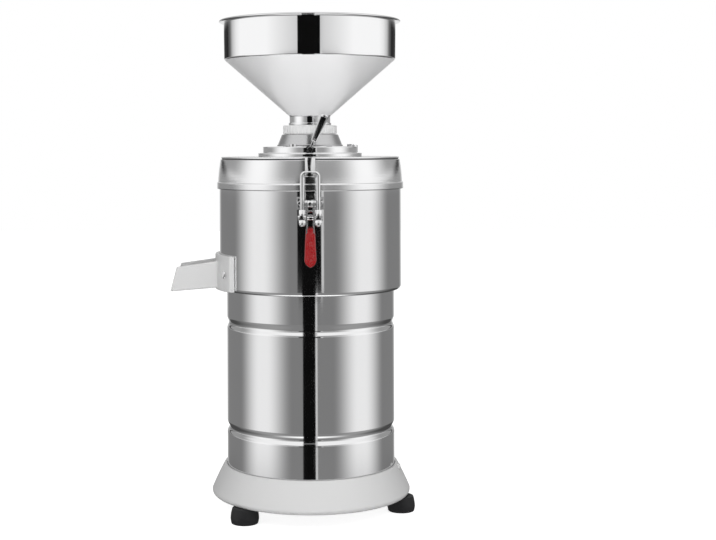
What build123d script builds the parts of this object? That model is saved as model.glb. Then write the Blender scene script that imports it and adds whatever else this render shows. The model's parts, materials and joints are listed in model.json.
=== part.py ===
"""Peanut butter machine: a standing motor turns a toothed burr against a fixed one held in a latched lid.

Millimetres, +Z up. The origin is on the machine's upright axis, level with the ground under its feet.
The front, where one of the two toggle latches is, faces -Y, and the pouring spout points along -X.
"""
from build123d import *
from collections import namedtuple
from math import atan2, cos, degrees, hypot, pi, radians, sin
import os

# Clearances
turn_gap = 0.05
slide_gap = 0.1
free_gap = 0.3

# Rubber feet, under the flare of the base
foot_inset = 9.5
foot_azimuths = {"left": -44.0, "right": 76.0, "rear": 196.0}
foot_height = 20.0
foot_belly_r = 18.5
foot_belly_height = 5.0
foot_top_r = 13.0
foot_socket_r = 7.0
foot_socket_depth = 4.0
foot_screw_r = 3.0
foot_screw_head_r = 5.0
foot_screw_head_height = 6.0
foot_boss_r = 9.0
foot_boss_height = 14.0

# Cast base ring
base_height = 40.0
base_top_out = 3.5
base_flare_out = 20.0
base_flare_height = 6.0
base_wall = 6.0
base_ledge_width = 14.5
base_ledge_thickness = 6.0
base_lip_depth = 6.0
base_flare_bulge = 0.5
base_lug_azimuth = 80.0
base_lug_r = 4.5

# Bottom plate with air slots
plate_thickness = 1.5
plate_screw_inset = 4.0
plate_screw_azimuths = (16.0, 136.0, 256.0)
plate_screw_head_r = 3.6
plate_screw_r = 2.0
plate_inset = 4.5
plate_slot_length = 34.0
plate_slot_width = 5.0
plate_slot_count = 12
plate_slot_inset = 46.0

# Lower barrel, round the motor
motor_barrel_r = 112.5
motor_barrel_height = 239.0
sheet = 1.2
groove_width = 16.0
low_groove_rise = 56.0
low_groove_depth = 3.0
high_groove_drop = 44.0
high_groove_depth = 2.2

# Upper barrel, round the grinding chamber
barrel_step = 9.5
outer_barrel_height = 143.0
outer_barrel_corner_r = 5.0
deck_width = 24.0

# Lid
lid_rim_out = 3.3
lid_rim_height = 9.5
lid_overlap = 9.0
lid_height = 43.0
lid_side_out = 0.9
lid_side_taper = 2.3
lid_crease_drop = 5.3
lid_crease_depth = 1.4
lid_wall = 3.0
lid_seal_rib_width = 7.0

# Grinding chamber
pot_inset = 26.0
pot_wall = 5.0
pot_flange_inset = 10.0
pot_flange_thickness = 5.0
pot_floor = 6.8
pot_rim_drop = 24.0
pot_hub_r = 30.0
pot_hub_rise = 9.0
pot_bolt_inset = 5.5
pot_bolt_azimuths = (45.0, 135.0, 225.0, 315.0)
pot_bolt_r = 2.5
pot_bolt_head_r = 4.2
pot_bolt_head_height = 3.5
port_half_width = 26.0
port_height = 28.0
port_wall = 3.0
gasket_thickness = 2.5

# Neck flange on the lid, two tiers, and its central boss
tier_low_r = 70.0
tier_low_height = 5.0
tier_top_r = 63.5
tier_top_height = 8.5
neck_boss_r = 44.5
neck_boss_depth = 15.0
neck_screw_circle_r = 55.0
neck_screw_azimuths = (-24.0, 96.0, 216.0)
neck_screw_r = 3.0
neck_screw_head_r = 4.6
neck_screw_head_height = 3.0
neck_lug_azimuth = 83.0
notch_width = 9.0
notch_inner_r = 49.5

# Adjusting hub, knurled ring and hopper
hub_low_r = 43.3
hub_top_r = 37.8
hub_height = 15.7
hub_lip_r = 44.5
hub_lip_height = 1.8
nipple_r = 31.5
nipple_height = 9.3
knurl_r = 36.2
knurl_height = 12.0
knurl_lip = 2.7
knurl_count = 40
knurl_depth = 0.8
neck_r = 27.5
neck_visible_height = 12.3
neck_band_out = 1.2
neck_band_height = 3.0
cone_height = 76.4
bowl_low_r = 115.2
bowl_taper = 0.6
bowl_height = 53.0
rim_bead_r = 3.8

# Burrs and their sleeve
sleeve_r = 30.0
sleeve_bore_r = 25.0
sleeve_flange_r = 56.0
sleeve_flange_thickness = 4.5
sleeve_top_drop = 2.7
burr_r = 60.0
burr_mouth_r = 33.0
fixed_burr_thickness = 14.0
turning_burr_thickness = 20.5
burr_gap = 0.5
burr_tooth_count = 18
burr_tooth_depth = 3.0
burr_tooth_width = 4.0
burr_hub_r = 20.0
burr_hub_height = 8.5
feed_screw_r = 22.0
feed_screw_core_r = 11.0
feed_screw_pitch = 34.0
feed_screw_flight = 3.0
paddle_wall_gap = 4.0
paddle_height = 14.0
paddle_thickness = 6.0

# Motor
shaft_r = 10.0
shaft_nose_r = 8.0
shaft_tail = 26.0
capacitor_room = 33.3
bell_wall = 8.0
bell_top_height = 49.2
bell_low_height = 47.0
core_bore_r = 40.0
core_height = 80.0
air_gap = 0.6
winding_wall_gap = 6.0
winding_height = 17.0
bearing_r = 23.5
bearing_height = 14.0
tie_bolt_r = 2.5
tie_bolt_azimuths = (0.0, 90.0, 180.0, 270.0)
tie_bolt_head_r = 4.2
tie_bolt_head_height = 3.5
tie_bolt_grip = 4.0
fan_inset = 12.0
fan_height = 14.0
fan_blades = 8
capacitor_r = 13.5
capacitor_height = 66.0
capacitor_motor_gap = 2.0
seal_r = 19.0
seal_height = 6.0

# Spout
spout_half_width = 33.5
spout_wall = 3.0
spout_root_floor = 4.4
spout_root_height = 35.8
spout_reach_top = 177.6
spout_reach_bottom = 186.2
spout_fall = 5.7
spout_top_fall = 8.7
saddle_thickness = 6.0
saddle_half_width = 73.0
saddle_height = 47.0
saddle_lift = 1.0
spout_screw_y = 62.0
spout_screw_r = 2.5
spout_screw_head_r = 5.0
spout_screw_head_height = 3.2

# Toggle latches, front and rear
latch_turns = {"front": 0.0, "rear": 180.0}
pin_standoff = 17.0
pin_below_rim = 24.0
pin_r = 2.2
bush_r = 4.75
lever_plate = 1.4
lever_half_gap = 3.8
ear_plate = 1.5
bail_rod_r = 2.7
bail_half_width = 10.1
bail_corner_r = 4.0
trunnion_drop = 18.0
trunnion_out = 2.3
trunnion_block = (10.0, 10.0, 5.0)
bail_rise = 38.0
bail_in = 6.5
grip_length = 49.5
grip_top_drop = 30.5
grip_top_width = 11.0
grip_low_width = 16.5
grip_depth = 9.0
catch_width = 13.0
catch_plate = 1.5
latch_foot_half_width = 17.0
rivet_r = 2.6
rivet_head = 1.4

# Lock lever
lever_pivot_y = -56.5
lever_pin_r = 2.5
lever_hub_r = 4.0
lever_lean = 23.5
lever_length = 51.0
lever_neck_width = 3.4
lever_neck_length = 11.5
lever_low_r = 3.6
lever_top_r = 5.4
lever_cap_length = 5.0
lever_depth = 4.0

# Switch and cable gland, on the back of the lower barrel
switch_rise = 146.0
bezel_size = (34.0, 24.0)
switch_body = (27.0, 19.0)
switch_depth = 16.0
rocker_size = (20.0, 13.0)
gland_rise = 28.0
gland_bore_r = 4.0
gland_thread_r = 8.0
gland_hex_r = 10.5
gland_out = 14.0

# Radii that follow from the sizes above
outer_barrel_r = motor_barrel_r + barrel_step
base_top_r = motor_barrel_r + base_top_out
base_flare_r = motor_barrel_r + base_flare_out
base_ledge_bore_r = motor_barrel_r - base_ledge_width
foot_circle_r = base_flare_r - foot_inset
plate_r = motor_barrel_r - plate_inset
plate_screw_circle_r = plate_r - plate_screw_inset
plate_slot_circle_r = plate_r - plate_slot_inset
deck_bore_r = outer_barrel_r - deck_width
lid_rim_r = outer_barrel_r + lid_rim_out
lid_side_low_r = outer_barrel_r + lid_side_out
lid_side_top_r = lid_side_low_r - lid_side_taper
pot_inner_r = outer_barrel_r - pot_inset
pot_flange_r = outer_barrel_r - pot_flange_inset
pot_bolt_circle_r = pot_flange_r - pot_bolt_inset
paddle_r = pot_inner_r - paddle_wall_gap
neck_band_r = neck_r + neck_band_out
bowl_top_r = bowl_low_r + bowl_taper
bell_r = motor_barrel_r - sheet - capacitor_room
winding_outer_r = bell_r - bell_wall - winding_wall_gap
tie_bolt_circle_r = bell_r - bell_wall / 2
fan_r = bell_r - fan_inset

# Heights that follow from the sizes above
foot_top_z = foot_height
base_top_z = foot_top_z + base_height
barrel_seat_z = base_top_z - base_lip_depth
switch_height = barrel_seat_z + switch_rise
gland_height = barrel_seat_z + gland_rise
deck_z = barrel_seat_z + motor_barrel_height
deck_top_z = deck_z + sheet
outer_top_z = deck_z + outer_barrel_height
lid_bottom_z = outer_top_z - lid_overlap
lid_top_z = lid_bottom_z + lid_height
pot_floor_z = deck_top_z + pot_floor
pot_rim_z = lid_top_z - pot_rim_drop
tier_low_z = lid_top_z + tier_low_height
tier_top_z = tier_low_z + tier_top_height
neck_boss_z = lid_top_z - neck_boss_depth
hub_z = tier_top_z + 0.5
hub_top_z = hub_z + hub_height
ring_z = hub_top_z + free_gap
ring_top_z = ring_z + knurl_height
cone_low_z = ring_top_z + neck_visible_height
cone_top_z = cone_low_z + cone_height
bowl_top_z = cone_top_z + bowl_height
sleeve_top_z = hub_top_z - sleeve_top_drop
fixed_burr_z = neck_boss_z - 26.0
fixed_burr_top_z = fixed_burr_z + fixed_burr_thickness
turning_burr_top_z = fixed_burr_z - burr_gap
turning_burr_z = turning_burr_top_z - turning_burr_thickness
shaft_shoulder_z = turning_burr_z - burr_hub_height
motor_top_z = deck_top_z
core_top_z = motor_top_z - bell_top_height
core_z = core_top_z - core_height
bell_low_z = core_z - bell_low_height
shaft_tail_z = bell_low_z - shaft_tail
lever_pivot_z = tier_low_z + lever_hub_r + free_gap
latch_pin_y = -(outer_barrel_r + pin_standoff)
latch_pin_z = outer_top_z - pin_below_rim
trunnion_y = latch_pin_y - trunnion_out
trunnion_z = latch_pin_z - trunnion_drop
bail_bar_y = latch_pin_y + bail_in
bail_bar_z = latch_pin_z + bail_rise

Via = namedtuple("Via", "r z")


def outline(*steps):
    """Closed edges through (x, y) points; a Via between two points bends that side through itself."""
    edges = []
    here = steps[0]
    via = None
    for step in (*steps[1:], steps[0]):
        if isinstance(step, Via):
            via = step
            continue
        edges.append(ThreePointArc(here, (via.r, via.z), step) if via else Line(here, step))
        here = step
        via = None
    return edges


def turned(*steps):
    """Solid turned about Z from a closed outline of (radius, height) points."""
    return revolve(Plane.XZ * make_face(outline(*steps)), Axis.Z)


def around(radius, azimuth, z=0.0):
    """Point on a circle, where azimuth 0 is the front and 90 degrees is towards +X."""
    return Vector(radius * sin(radians(azimuth)), -radius * cos(radians(azimuth)), z)


def rod(radius, start, end):
    """Round bar between two points."""
    start = Vector(start)
    reach = Vector(end) - start
    return extrude(Plane(start, z_dir=reach) * Circle(radius), reach.length)


def upright(radius, z_low, z_top, place=(0.0, 0.0)):
    """Upright cylinder between two heights."""
    return rod(radius, (*place, z_low), (*place, z_top))


def block(x_range, y_range, z_range):
    """Box between two corners, given as three ranges."""
    lows = [min(pair) for pair in (x_range, y_range, z_range)]
    sizes = [abs(pair[1] - pair[0]) for pair in (x_range, y_range, z_range)]
    return Pos(*lows) * Box(*sizes, align=(Align.MIN, Align.MIN, Align.MIN))


def hexagon(across_corners_r, start, end):
    """Hexagonal bar between two points."""
    start = Vector(start)
    reach = Vector(end) - start
    return extrude(Plane(start, z_dir=reach) * RegularPolygon(across_corners_r, 6), reach.length)


def save(name, *solids):
    """Write one named sub-part, whose pieces stay separate solids."""
    pieces = [solid for piece in solids for solid in piece.solids()]
    export_step(pieces[0] if len(pieces) == 1 else Compound(children=pieces), f"parts/{name}.step")


def base_ring():
    """Cast flare that carries the barrel on a ledge and holds the three foot screws in bosses."""
    widest_z = foot_top_z + base_flare_height
    lip_r = motor_barrel_r + free_gap
    ledge_z = barrel_seat_z - base_ledge_thickness
    outside = [
        (base_top_r, base_top_z),
        Via((base_top_r + base_flare_r) / 2 + base_flare_bulge, (base_top_z + widest_z) / 2),
        (base_flare_r, widest_z),
        Via(base_flare_r - 1.0, foot_top_z + 1.8),
        (base_flare_r - 3.5, foot_top_z),
    ]
    inside = [
        (base_flare_r - base_wall - 2.0, foot_top_z),
        (base_top_r - base_wall / 2, ledge_z),
        (base_ledge_bore_r, ledge_z),
        (base_ledge_bore_r, barrel_seat_z),
        (lip_r, barrel_seat_z),
        (lip_r, base_top_z),
    ]
    full = turned(*outside, (lip_r, foot_top_z), (lip_r, base_top_z))
    ring = turned(*outside, *inside)
    for azimuth in foot_azimuths.values():
        centre = around(foot_circle_r, azimuth)
        place = (centre.X, centre.Y)
        boss_top_z = foot_top_z + foot_boss_height
        ring += upright(foot_boss_r, foot_top_z, boss_top_z, place) & full
        ring -= upright(foot_screw_r + turn_gap, foot_top_z - 1, boss_top_z - 1, place)
    for azimuth in plate_screw_azimuths:
        centre = around(plate_screw_circle_r, azimuth)
        ring -= upright(plate_screw_r + turn_gap, ledge_z - 1, barrel_seat_z - 0.5, (centre.X, centre.Y))
    lug_z = base_top_z - base_lug_r
    lug_out = around(base_top_r + base_lug_r, base_lug_azimuth, lug_z)
    return ring + rod(base_lug_r, around(lip_r + 0.5, base_lug_azimuth, lug_z), lug_out)


def foot(azimuth):
    """Domed rubber foot with a socket in its sole and the screw's head sunk above it."""
    head_top_z = foot_socket_depth + foot_screw_head_height
    head_r = foot_screw_head_r + free_gap
    shank_r = foot_screw_r + turn_gap
    pad = turned(
        (foot_socket_r, 0.0),
        (foot_belly_r - 1.5, 0.0),
        (foot_belly_r, foot_belly_height),
        Via((foot_belly_r + foot_top_r) / 2 + 0.8, (foot_belly_height + foot_height) / 2 + 0.8),
        (foot_top_r, foot_height),
        (shank_r, foot_height),
        (shank_r, head_top_z),
        (head_r, head_top_z),
        (head_r, foot_socket_depth),
        (foot_socket_r, foot_socket_depth),
    )
    return Pos(*around(foot_circle_r, azimuth)) * pad


def foot_screws():
    """One cap screw for each foot, from its sunk head up into the base's boss."""
    screws = []
    for azimuth in foot_azimuths.values():
        centre = around(foot_circle_r, azimuth)
        place = (centre.X, centre.Y)
        head_top_z = foot_socket_depth + foot_screw_head_height
        head = upright(foot_screw_head_r, foot_socket_depth + 0.4, head_top_z, place)
        screws.append(head + upright(foot_screw_r, head_top_z, foot_top_z + foot_boss_height - 2, place))
    return screws


def bottom_plate():
    """Sheet under the base's ledge, with a ring of air slots below the fan."""
    top_z = barrel_seat_z - base_ledge_thickness
    plate = upright(plate_r, top_z - plate_thickness, top_z)
    slot = extrude(SlotOverall(plate_slot_length, plate_slot_width), plate_thickness + 2)
    low = Pos(0, 0, top_z - plate_thickness - 1)
    plate -= [low * place * slot for place in PolarLocations(plate_slot_circle_r, plate_slot_count)]
    for azimuth in plate_screw_azimuths:
        centre = around(plate_screw_circle_r, azimuth)
        plate -= upright(plate_screw_r + turn_gap, top_z - 5, top_z + 1, (centre.X, centre.Y))
    return plate


def bottom_plate_screws():
    """Pan-head screws that hold the bottom plate to the ledge."""
    head_z = barrel_seat_z - base_ledge_thickness - plate_thickness
    screws = []
    for azimuth in plate_screw_azimuths:
        centre = around(plate_screw_circle_r, azimuth)
        place = (centre.X, centre.Y)
        head = upright(plate_screw_head_r, head_z - 2, head_z, place)
        screws.append(head + upright(plate_screw_r, head_z, barrel_seat_z - 1, place))
    return screws


def motor_barrel():
    """Thin lower barrel with two rolled grooves, a switch window and a gland hole at the back."""
    half = groove_width / 2
    low_groove_z = barrel_seat_z + low_groove_rise
    high_groove_z = deck_z - high_groove_drop

    def side(radius):
        steps = [(radius, barrel_seat_z)]
        for middle_z, depth in ((low_groove_z, low_groove_depth), (high_groove_z, high_groove_depth)):
            steps += [(radius, middle_z - half), Via(radius - depth, middle_z), (radius, middle_z + half)]
        return steps + [(radius, deck_z)]

    shell = turned(*side(motor_barrel_r), *reversed(side(motor_barrel_r - sheet)))
    x_half, z_half = switch_body[0] / 2 + free_gap, switch_body[1] / 2 + free_gap
    back = (motor_barrel_r - 9, motor_barrel_r + 2)
    shell -= block((-x_half, x_half), back, (switch_height - z_half, switch_height + z_half))
    return shell - rod(gland_thread_r + free_gap, (0, back[0], gland_height), (0, back[1], gland_height))


def outer_barrel():
    """Thin upper barrel whose turned-in floor makes the deck between motor and grinding chamber."""
    inner_r = outer_barrel_r - sheet
    corner = outer_barrel_corner_r
    reach = corner * (1 - cos(pi / 4))
    shell = turned(
        (deck_bore_r, deck_z),
        (outer_barrel_r - corner, deck_z),
        Via(outer_barrel_r - reach, deck_z + reach),
        (outer_barrel_r, deck_z + corner),
        (outer_barrel_r, outer_top_z),
        (inner_r, outer_top_z),
        (inner_r, deck_z + corner),
        Via(inner_r - reach + 0.35, deck_top_z + reach - 0.35),
        (outer_barrel_r - corner, deck_top_z),
        (deck_bore_r, deck_top_z),
    )
    shell -= port_window(outer_barrel_r + 3)
    for place in pot_bolt_places():
        shell -= upright(pot_bolt_r + turn_gap, deck_z - 1, deck_top_z + 1, place)
    for start, end in spout_screw_lines():
        shell -= rod(spout_screw_r + turn_gap, start, end)
    return shell


def port_window(reach, half_width=port_half_width, extra=0.0):
    """Box that opens the way from the chamber's floor out to the spout."""
    z_range = (pot_floor_z - extra, pot_floor_z + port_height + extra)
    return block((-reach, 4 - pot_inner_r), (-half_width, half_width), z_range)


def pot_bolt_places():
    """Four places round the chamber's foot, clear of its port."""
    points = [around(pot_bolt_circle_r, azimuth) for azimuth in pot_bolt_azimuths]
    return [(point.X, point.Y) for point in points]


def tie_bolt_places():
    """Four places round the motor's wall."""
    points = [around(tie_bolt_circle_r, azimuth) for azimuth in tie_bolt_azimuths]
    return [(point.X, point.Y) for point in points]


def spout_screw_lines():
    """Start and end of the two spout screws, which point at the machine's axis."""
    z = deck_z + saddle_lift + saddle_height / 2 - 1
    outer_r = outer_barrel_r + saddle_thickness
    lines = []
    for side in (-1, 1):
        angle = atan2(side * spout_screw_y, -(outer_r ** 2 - spout_screw_y ** 2) ** 0.5)
        inside = Vector((outer_barrel_r - 8) * cos(angle), (outer_barrel_r - 8) * sin(angle), z)
        lines.append((inside, Vector(outer_r * cos(angle), outer_r * sin(angle), z)))
    return lines


def chamber_pot():
    """Cast grinding chamber with a seal hub in its floor and a square port towards the spout."""
    outer_r = pot_inner_r + pot_wall
    hub_top = pot_floor_z + pot_hub_rise
    flange_z = deck_top_z + pot_flange_thickness
    pot = turned(
        (shaft_r + 2, deck_top_z),
        (pot_flange_r, deck_top_z),
        (pot_flange_r, flange_z),
        (outer_r, flange_z),
        (outer_r, pot_rim_z),
        (pot_inner_r, pot_rim_z),
        (pot_inner_r, pot_floor_z),
        (pot_hub_r, pot_floor_z),
        (pot_hub_r, hub_top),
        (seal_r, hub_top),
        (seal_r, hub_top - seal_height),
        (shaft_r + 2, hub_top - seal_height),
    )
    stub = port_window(outer_barrel_r, port_half_width + port_wall, port_wall)
    pot += stub & upright(outer_barrel_r - sheet - free_gap, deck_top_z, pot_rim_z)
    pot -= port_window(outer_barrel_r)
    for place in pot_bolt_places():
        pot -= upright(pot_bolt_r + turn_gap, deck_top_z - 1, flange_z + 1, place)
    for place in tie_bolt_places():
        pot -= upright(tie_bolt_r + turn_gap, deck_top_z - 1, deck_top_z + tie_bolt_grip + 0.5, place)
    return pot


def pot_bolts():
    """Bolts and nuts that hold the chamber to the deck, each pair drawn as one piece."""
    flange_z = deck_top_z + pot_flange_thickness
    bolts = []
    for place in pot_bolt_places():
        bolt = upright(pot_bolt_r, deck_z - pot_bolt_head_height, flange_z, place)
        bolt += hexagon(pot_bolt_head_r, (*place, flange_z), (*place, flange_z + pot_bolt_head_height))
        bolt += hexagon(pot_bolt_head_r, (*place, deck_z - pot_bolt_head_height), (*place, deck_z))
        bolts.append(bolt)
    return bolts


def lid():
    """Turned lid with a rolled rim, a crease under its shoulder and a rib that presses on the gasket."""
    opening_r = neck_boss_r + slide_gap
    under_z = lid_top_z - lid_wall
    rib_in_r = pot_inner_r - 1.0
    rib_out_r = rib_in_r + lid_seal_rib_width
    rib_z = pot_rim_z + gasket_thickness
    skirt_r = outer_barrel_r + 0.5
    inner_r = lid_side_top_r - lid_wall
    crease_z = lid_top_z - lid_crease_drop
    shoulder_r = lid_side_top_r - 9.0
    cover = turned(
        (opening_r, lid_top_z),
        (opening_r, under_z),
        (rib_in_r, under_z),
        (rib_in_r, rib_z),
        (rib_out_r, rib_z),
        (rib_out_r, under_z),
        (inner_r - 4.0, under_z),
        Via(inner_r - 1.2, under_z - 1.2),
        (inner_r, under_z - 4.0),
        (inner_r, outer_top_z),
        (skirt_r, outer_top_z),
        (skirt_r, lid_bottom_z),
        (lid_rim_r - 1.0, lid_bottom_z),
        (lid_rim_r, lid_bottom_z + 1.0),
        (lid_rim_r, lid_bottom_z + lid_rim_height - 1.5),
        (lid_side_low_r, lid_bottom_z + lid_rim_height),
        (lid_side_top_r, crease_z - 1.3),
        Via(lid_side_top_r - lid_crease_depth, crease_z),
        (lid_side_top_r - 0.4, crease_z + 1.3),
        Via(lid_side_top_r - 3.1, lid_top_z - 1.5),
        (shoulder_r, lid_top_z),
    )
    for azimuth in neck_screw_azimuths:
        centre = around(neck_screw_circle_r, azimuth)
        cover -= upright(neck_screw_r + turn_gap, lid_top_z - 20, lid_top_z + 1, (centre.X, centre.Y))
    return cover


def lid_gasket():
    """Flat rubber ring on the chamber's rim."""
    top_z = pot_rim_z + gasket_thickness
    outer_r = pot_inner_r + pot_wall
    return turned((pot_inner_r, pot_rim_z), (outer_r, pot_rim_z), (outer_r, top_z), (pot_inner_r, top_z))


def neck_flange():
    """Two-tier flange whose boss guides the burr sleeve, with a notch for the lock lever."""
    bore_r = sleeve_r + turn_gap
    flange = turned(
        (bore_r, neck_boss_z),
        (neck_boss_r, neck_boss_z),
        (neck_boss_r, lid_top_z),
        (tier_low_r, lid_top_z),
        (tier_low_r, tier_low_z - 1.5),
        (tier_low_r - 1.5, tier_low_z),
        (tier_top_r, tier_low_z),
        (tier_top_r, tier_top_z - 1.2),
        (tier_top_r - 1.2, tier_top_z),
        (bore_r, tier_top_z),
    )
    lug = around(tier_top_r - 5.0, neck_lug_azimuth)
    flange += upright(6.0, tier_low_z, tier_top_z + 2.0, (lug.X, lug.Y))
    half = notch_width / 2
    flange -= block((-half, half), (-tier_top_r - 2, -notch_inner_r), (tier_low_z, tier_top_z + 1))
    flange -= rod(lever_pin_r, (0, -notch_inner_r - 1, lever_pivot_z), (0, 6 - notch_inner_r, lever_pivot_z))
    for azimuth in neck_screw_azimuths:
        centre = around(neck_screw_circle_r, azimuth)
        flange -= upright(neck_screw_r + turn_gap, lid_top_z - 1, tier_top_z + 1, (centre.X, centre.Y))
    return flange


def neck_flange_screws():
    """Socket-head screws through the flange and into the lid."""
    screws = []
    for azimuth in neck_screw_azimuths:
        centre = around(neck_screw_circle_r, azimuth)
        place = (centre.X, centre.Y)
        head_top_z = tier_top_z + neck_screw_head_height
        screw = upright(neck_screw_r, lid_top_z - lid_wall - 4, tier_top_z, place)
        screw += upright(neck_screw_head_r, tier_top_z, head_top_z, place)
        socket = hexagon(neck_screw_r * 0.8, (*place, head_top_z - 1.8), (*place, head_top_z + 1))
        screws.append(screw - socket)
    return screws


def adjusting_hub():
    """Conical hub that turns on the flange, with a nipple that takes the hopper's neck."""
    bore_r = sleeve_r + turn_gap
    neck_bore_r = neck_r + slide_gap
    nipple_top_z = hub_top_z + nipple_height
    return turned(
        (bore_r, hub_z),
        (hub_lip_r, hub_z),
        (hub_lip_r, hub_z + hub_lip_height),
        (hub_low_r, hub_z + hub_lip_height),
        (hub_top_r, hub_top_z),
        (nipple_r, hub_top_z),
        (nipple_r, nipple_top_z),
        (neck_bore_r, nipple_top_z),
        (neck_bore_r, hub_top_z - 1),
        (bore_r, hub_top_z - 1),
    )


def knurled_ring():
    """Collar nut over the hub's nipple, with a ribbed grip."""
    bore_r = nipple_r + turn_gap
    edge = 1.6
    bulge = edge * (1 - cos(pi / 4))
    lip_z = ring_top_z - knurl_lip
    ring = turned(
        (bore_r, ring_z),
        (knurl_r - edge, ring_z),
        Via(knurl_r - bulge, ring_z + bulge),
        (knurl_r, ring_z + edge),
        (knurl_r, ring_top_z - edge),
        Via(knurl_r - bulge, ring_top_z - bulge),
        (knurl_r - edge, ring_top_z),
        (neck_r + free_gap, ring_top_z),
        (neck_r + free_gap, lip_z),
        (bore_r, lip_z),
    )
    flute = upright(knurl_depth, ring_z - 1, ring_top_z + 1)
    return ring - [place * flute for place in PolarLocations(knurl_r + knurl_depth * 0.2, knurl_count)]


def hopper():
    """Spun funnel: spigot and banded neck, cone, upright wall and rolled rim."""
    slope = cone_height / (bowl_low_r - neck_r)
    lift = sheet * hypot(1, slope)
    spigot_z = ring_z + 1.0
    inner_neck_r = neck_r - sheet
    inner_low_r = bowl_low_r - sheet
    band_top_z = ring_top_z + neck_band_height
    bead_z = bowl_top_z - rim_bead_r
    bead_r = bowl_top_r - sheet + rim_bead_r
    shell = turned(
        (inner_neck_r, spigot_z),
        (neck_r, spigot_z),
        (neck_r, ring_top_z),
        (neck_band_r, ring_top_z),
        (neck_band_r, band_top_z),
        (neck_r, band_top_z),
        (neck_r, cone_low_z),
        (bowl_low_r, cone_top_z),
        (bowl_top_r, bead_z),
        (bowl_top_r - sheet, bead_z),
        (inner_low_r, cone_low_z + lift + (inner_low_r - neck_r) * slope),
        (inner_neck_r, cone_low_z + lift + (inner_neck_r - neck_r) * slope),
    )
    return shell + revolve(Plane.XZ * Pos(bead_r, bead_z) * Circle(rim_bead_r), Axis.Z)


def burr_slots(z_low, z_top):
    """Radial tooth gaps of a burr, as cutting blocks."""
    half = burr_tooth_width / 2
    tooth = block((burr_mouth_r + 4, burr_r + 2), (-half, half), (z_low, z_top))
    return [Rot(0, 0, 360 * number / burr_tooth_count) * tooth for number in range(burr_tooth_count)]


def stator_sleeve():
    """Threaded sleeve that carries the fixed burr under its flange and moves in the neck boss."""
    flange_top_z = fixed_burr_top_z + sleeve_flange_thickness
    return turned(
        (sleeve_bore_r, fixed_burr_top_z),
        (sleeve_flange_r, fixed_burr_top_z),
        (sleeve_flange_r, flange_top_z),
        (sleeve_r, flange_top_z),
        (sleeve_r, sleeve_top_z),
        (sleeve_bore_r, sleeve_top_z),
    )


def stator_burr():
    """Fixed burr, toothed on its underside."""
    ring = turned(
        (burr_mouth_r, fixed_burr_z),
        (burr_r, fixed_burr_z),
        (burr_r, fixed_burr_top_z),
        (sleeve_bore_r, fixed_burr_top_z),
    )
    return ring - burr_slots(fixed_burr_z - 1, fixed_burr_z + burr_tooth_depth)


def rotor_burr():
    """Turning burr, toothed on top round a feed hollow, with its hub on the shaft's nose."""
    hollow_z = turning_burr_top_z - 7.5
    disc = turned(
        (shaft_nose_r, shaft_shoulder_z),
        (burr_hub_r, shaft_shoulder_z),
        (burr_hub_r, turning_burr_z),
        (burr_r, turning_burr_z),
        (burr_r, turning_burr_top_z),
        (burr_mouth_r, turning_burr_top_z),
        (feed_screw_r, hollow_z),
        (shaft_nose_r, hollow_z),
    )
    return disc - burr_slots(turning_burr_top_z - burr_tooth_depth, turning_burr_top_z + 1)


def feed_screw():
    """Screw that pushes the nuts down into the burrs and clamps the turning burr on the shaft."""
    low_z = turning_burr_top_z - 7.5
    nose_z = shaft_nose_top_z()
    top_z = sleeve_top_z - 1
    core = turned(
        (shaft_nose_r, low_z),
        (feed_screw_core_r, low_z),
        (feed_screw_core_r, top_z - 4),
        (feed_screw_core_r - 5, top_z),
        (0, top_z),
        (0, nose_z),
        (shaft_nose_r, nose_z),
    )
    bite = 1.0
    radial = feed_screw_r - feed_screw_core_r + bite
    flight_z = low_z + 8
    middle_r = feed_screw_r - radial / 2
    line = Pos(0, 0, flight_z) * Helix(feed_screw_pitch, top_z - 6 - flight_z, middle_r)
    section = Plane(origin=line @ 0, x_dir=(1, 0, 0), z_dir=line % 0) * Rectangle(radial, feed_screw_flight)
    return core + sweep(section, path=line, is_frenet=True)


def shaft_nose_top_z():
    """Top of the shaft's narrow nose, inside the feed screw."""
    return turning_burr_top_z + 11.5


def motor_shaft():
    """Stepped shaft from the fan up to the turning burr."""
    return turned(
        (0, shaft_tail_z),
        (shaft_r, shaft_tail_z),
        (shaft_r, shaft_shoulder_z),
        (shaft_nose_r, shaft_shoulder_z),
        (shaft_nose_r, shaft_nose_top_z()),
        (0, shaft_nose_top_z()),
    )


def scraper_paddle():
    """Two-armed scraper that sweeps the paste round the chamber's floor to the port."""
    low_z = pot_floor_z + 1.0
    hub_low = pot_floor_z + pot_hub_rise + 1.0
    top_z = hub_low + paddle_height
    half = paddle_thickness / 2
    arms = block((-paddle_r, paddle_r), (-half, half), (hub_low, top_z))
    arms += block((-paddle_r, -pot_hub_r - 3), (-half, half), (low_z, top_z))
    arms += block((pot_hub_r + 3, paddle_r), (-half, half), (low_z, top_z))
    arms += upright(shaft_r + 8, hub_low, top_z)
    return arms - upright(shaft_r, hub_low - 1, top_z + 1)


def motor_bell(wall_z, mouth_z):
    """End bell of the motor: its closed end is at wall_z, its open rim against the core at mouth_z."""
    inward = 1 if mouth_z > wall_z else -1
    seat_z = wall_z + inward * bell_wall
    bell = turned(
        (bell_r, mouth_z),
        (bell_r, wall_z),
        (shaft_r + 3, wall_z),
        (shaft_r + 3, seat_z),
        (bearing_r, seat_z),
        (bearing_r, seat_z + inward * bearing_height),
        (bearing_r + 5, seat_z + inward * bearing_height),
        (bearing_r + 5, seat_z + inward * 2),
        (bell_r - bell_wall, seat_z + inward * 2),
        (bell_r - bell_wall, mouth_z),
    )
    low_z, top_z = sorted((wall_z, mouth_z))
    return bell - [upright(tie_bolt_r + turn_gap, low_z - 1, top_z + 1, place) for place in tie_bolt_places()]


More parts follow.
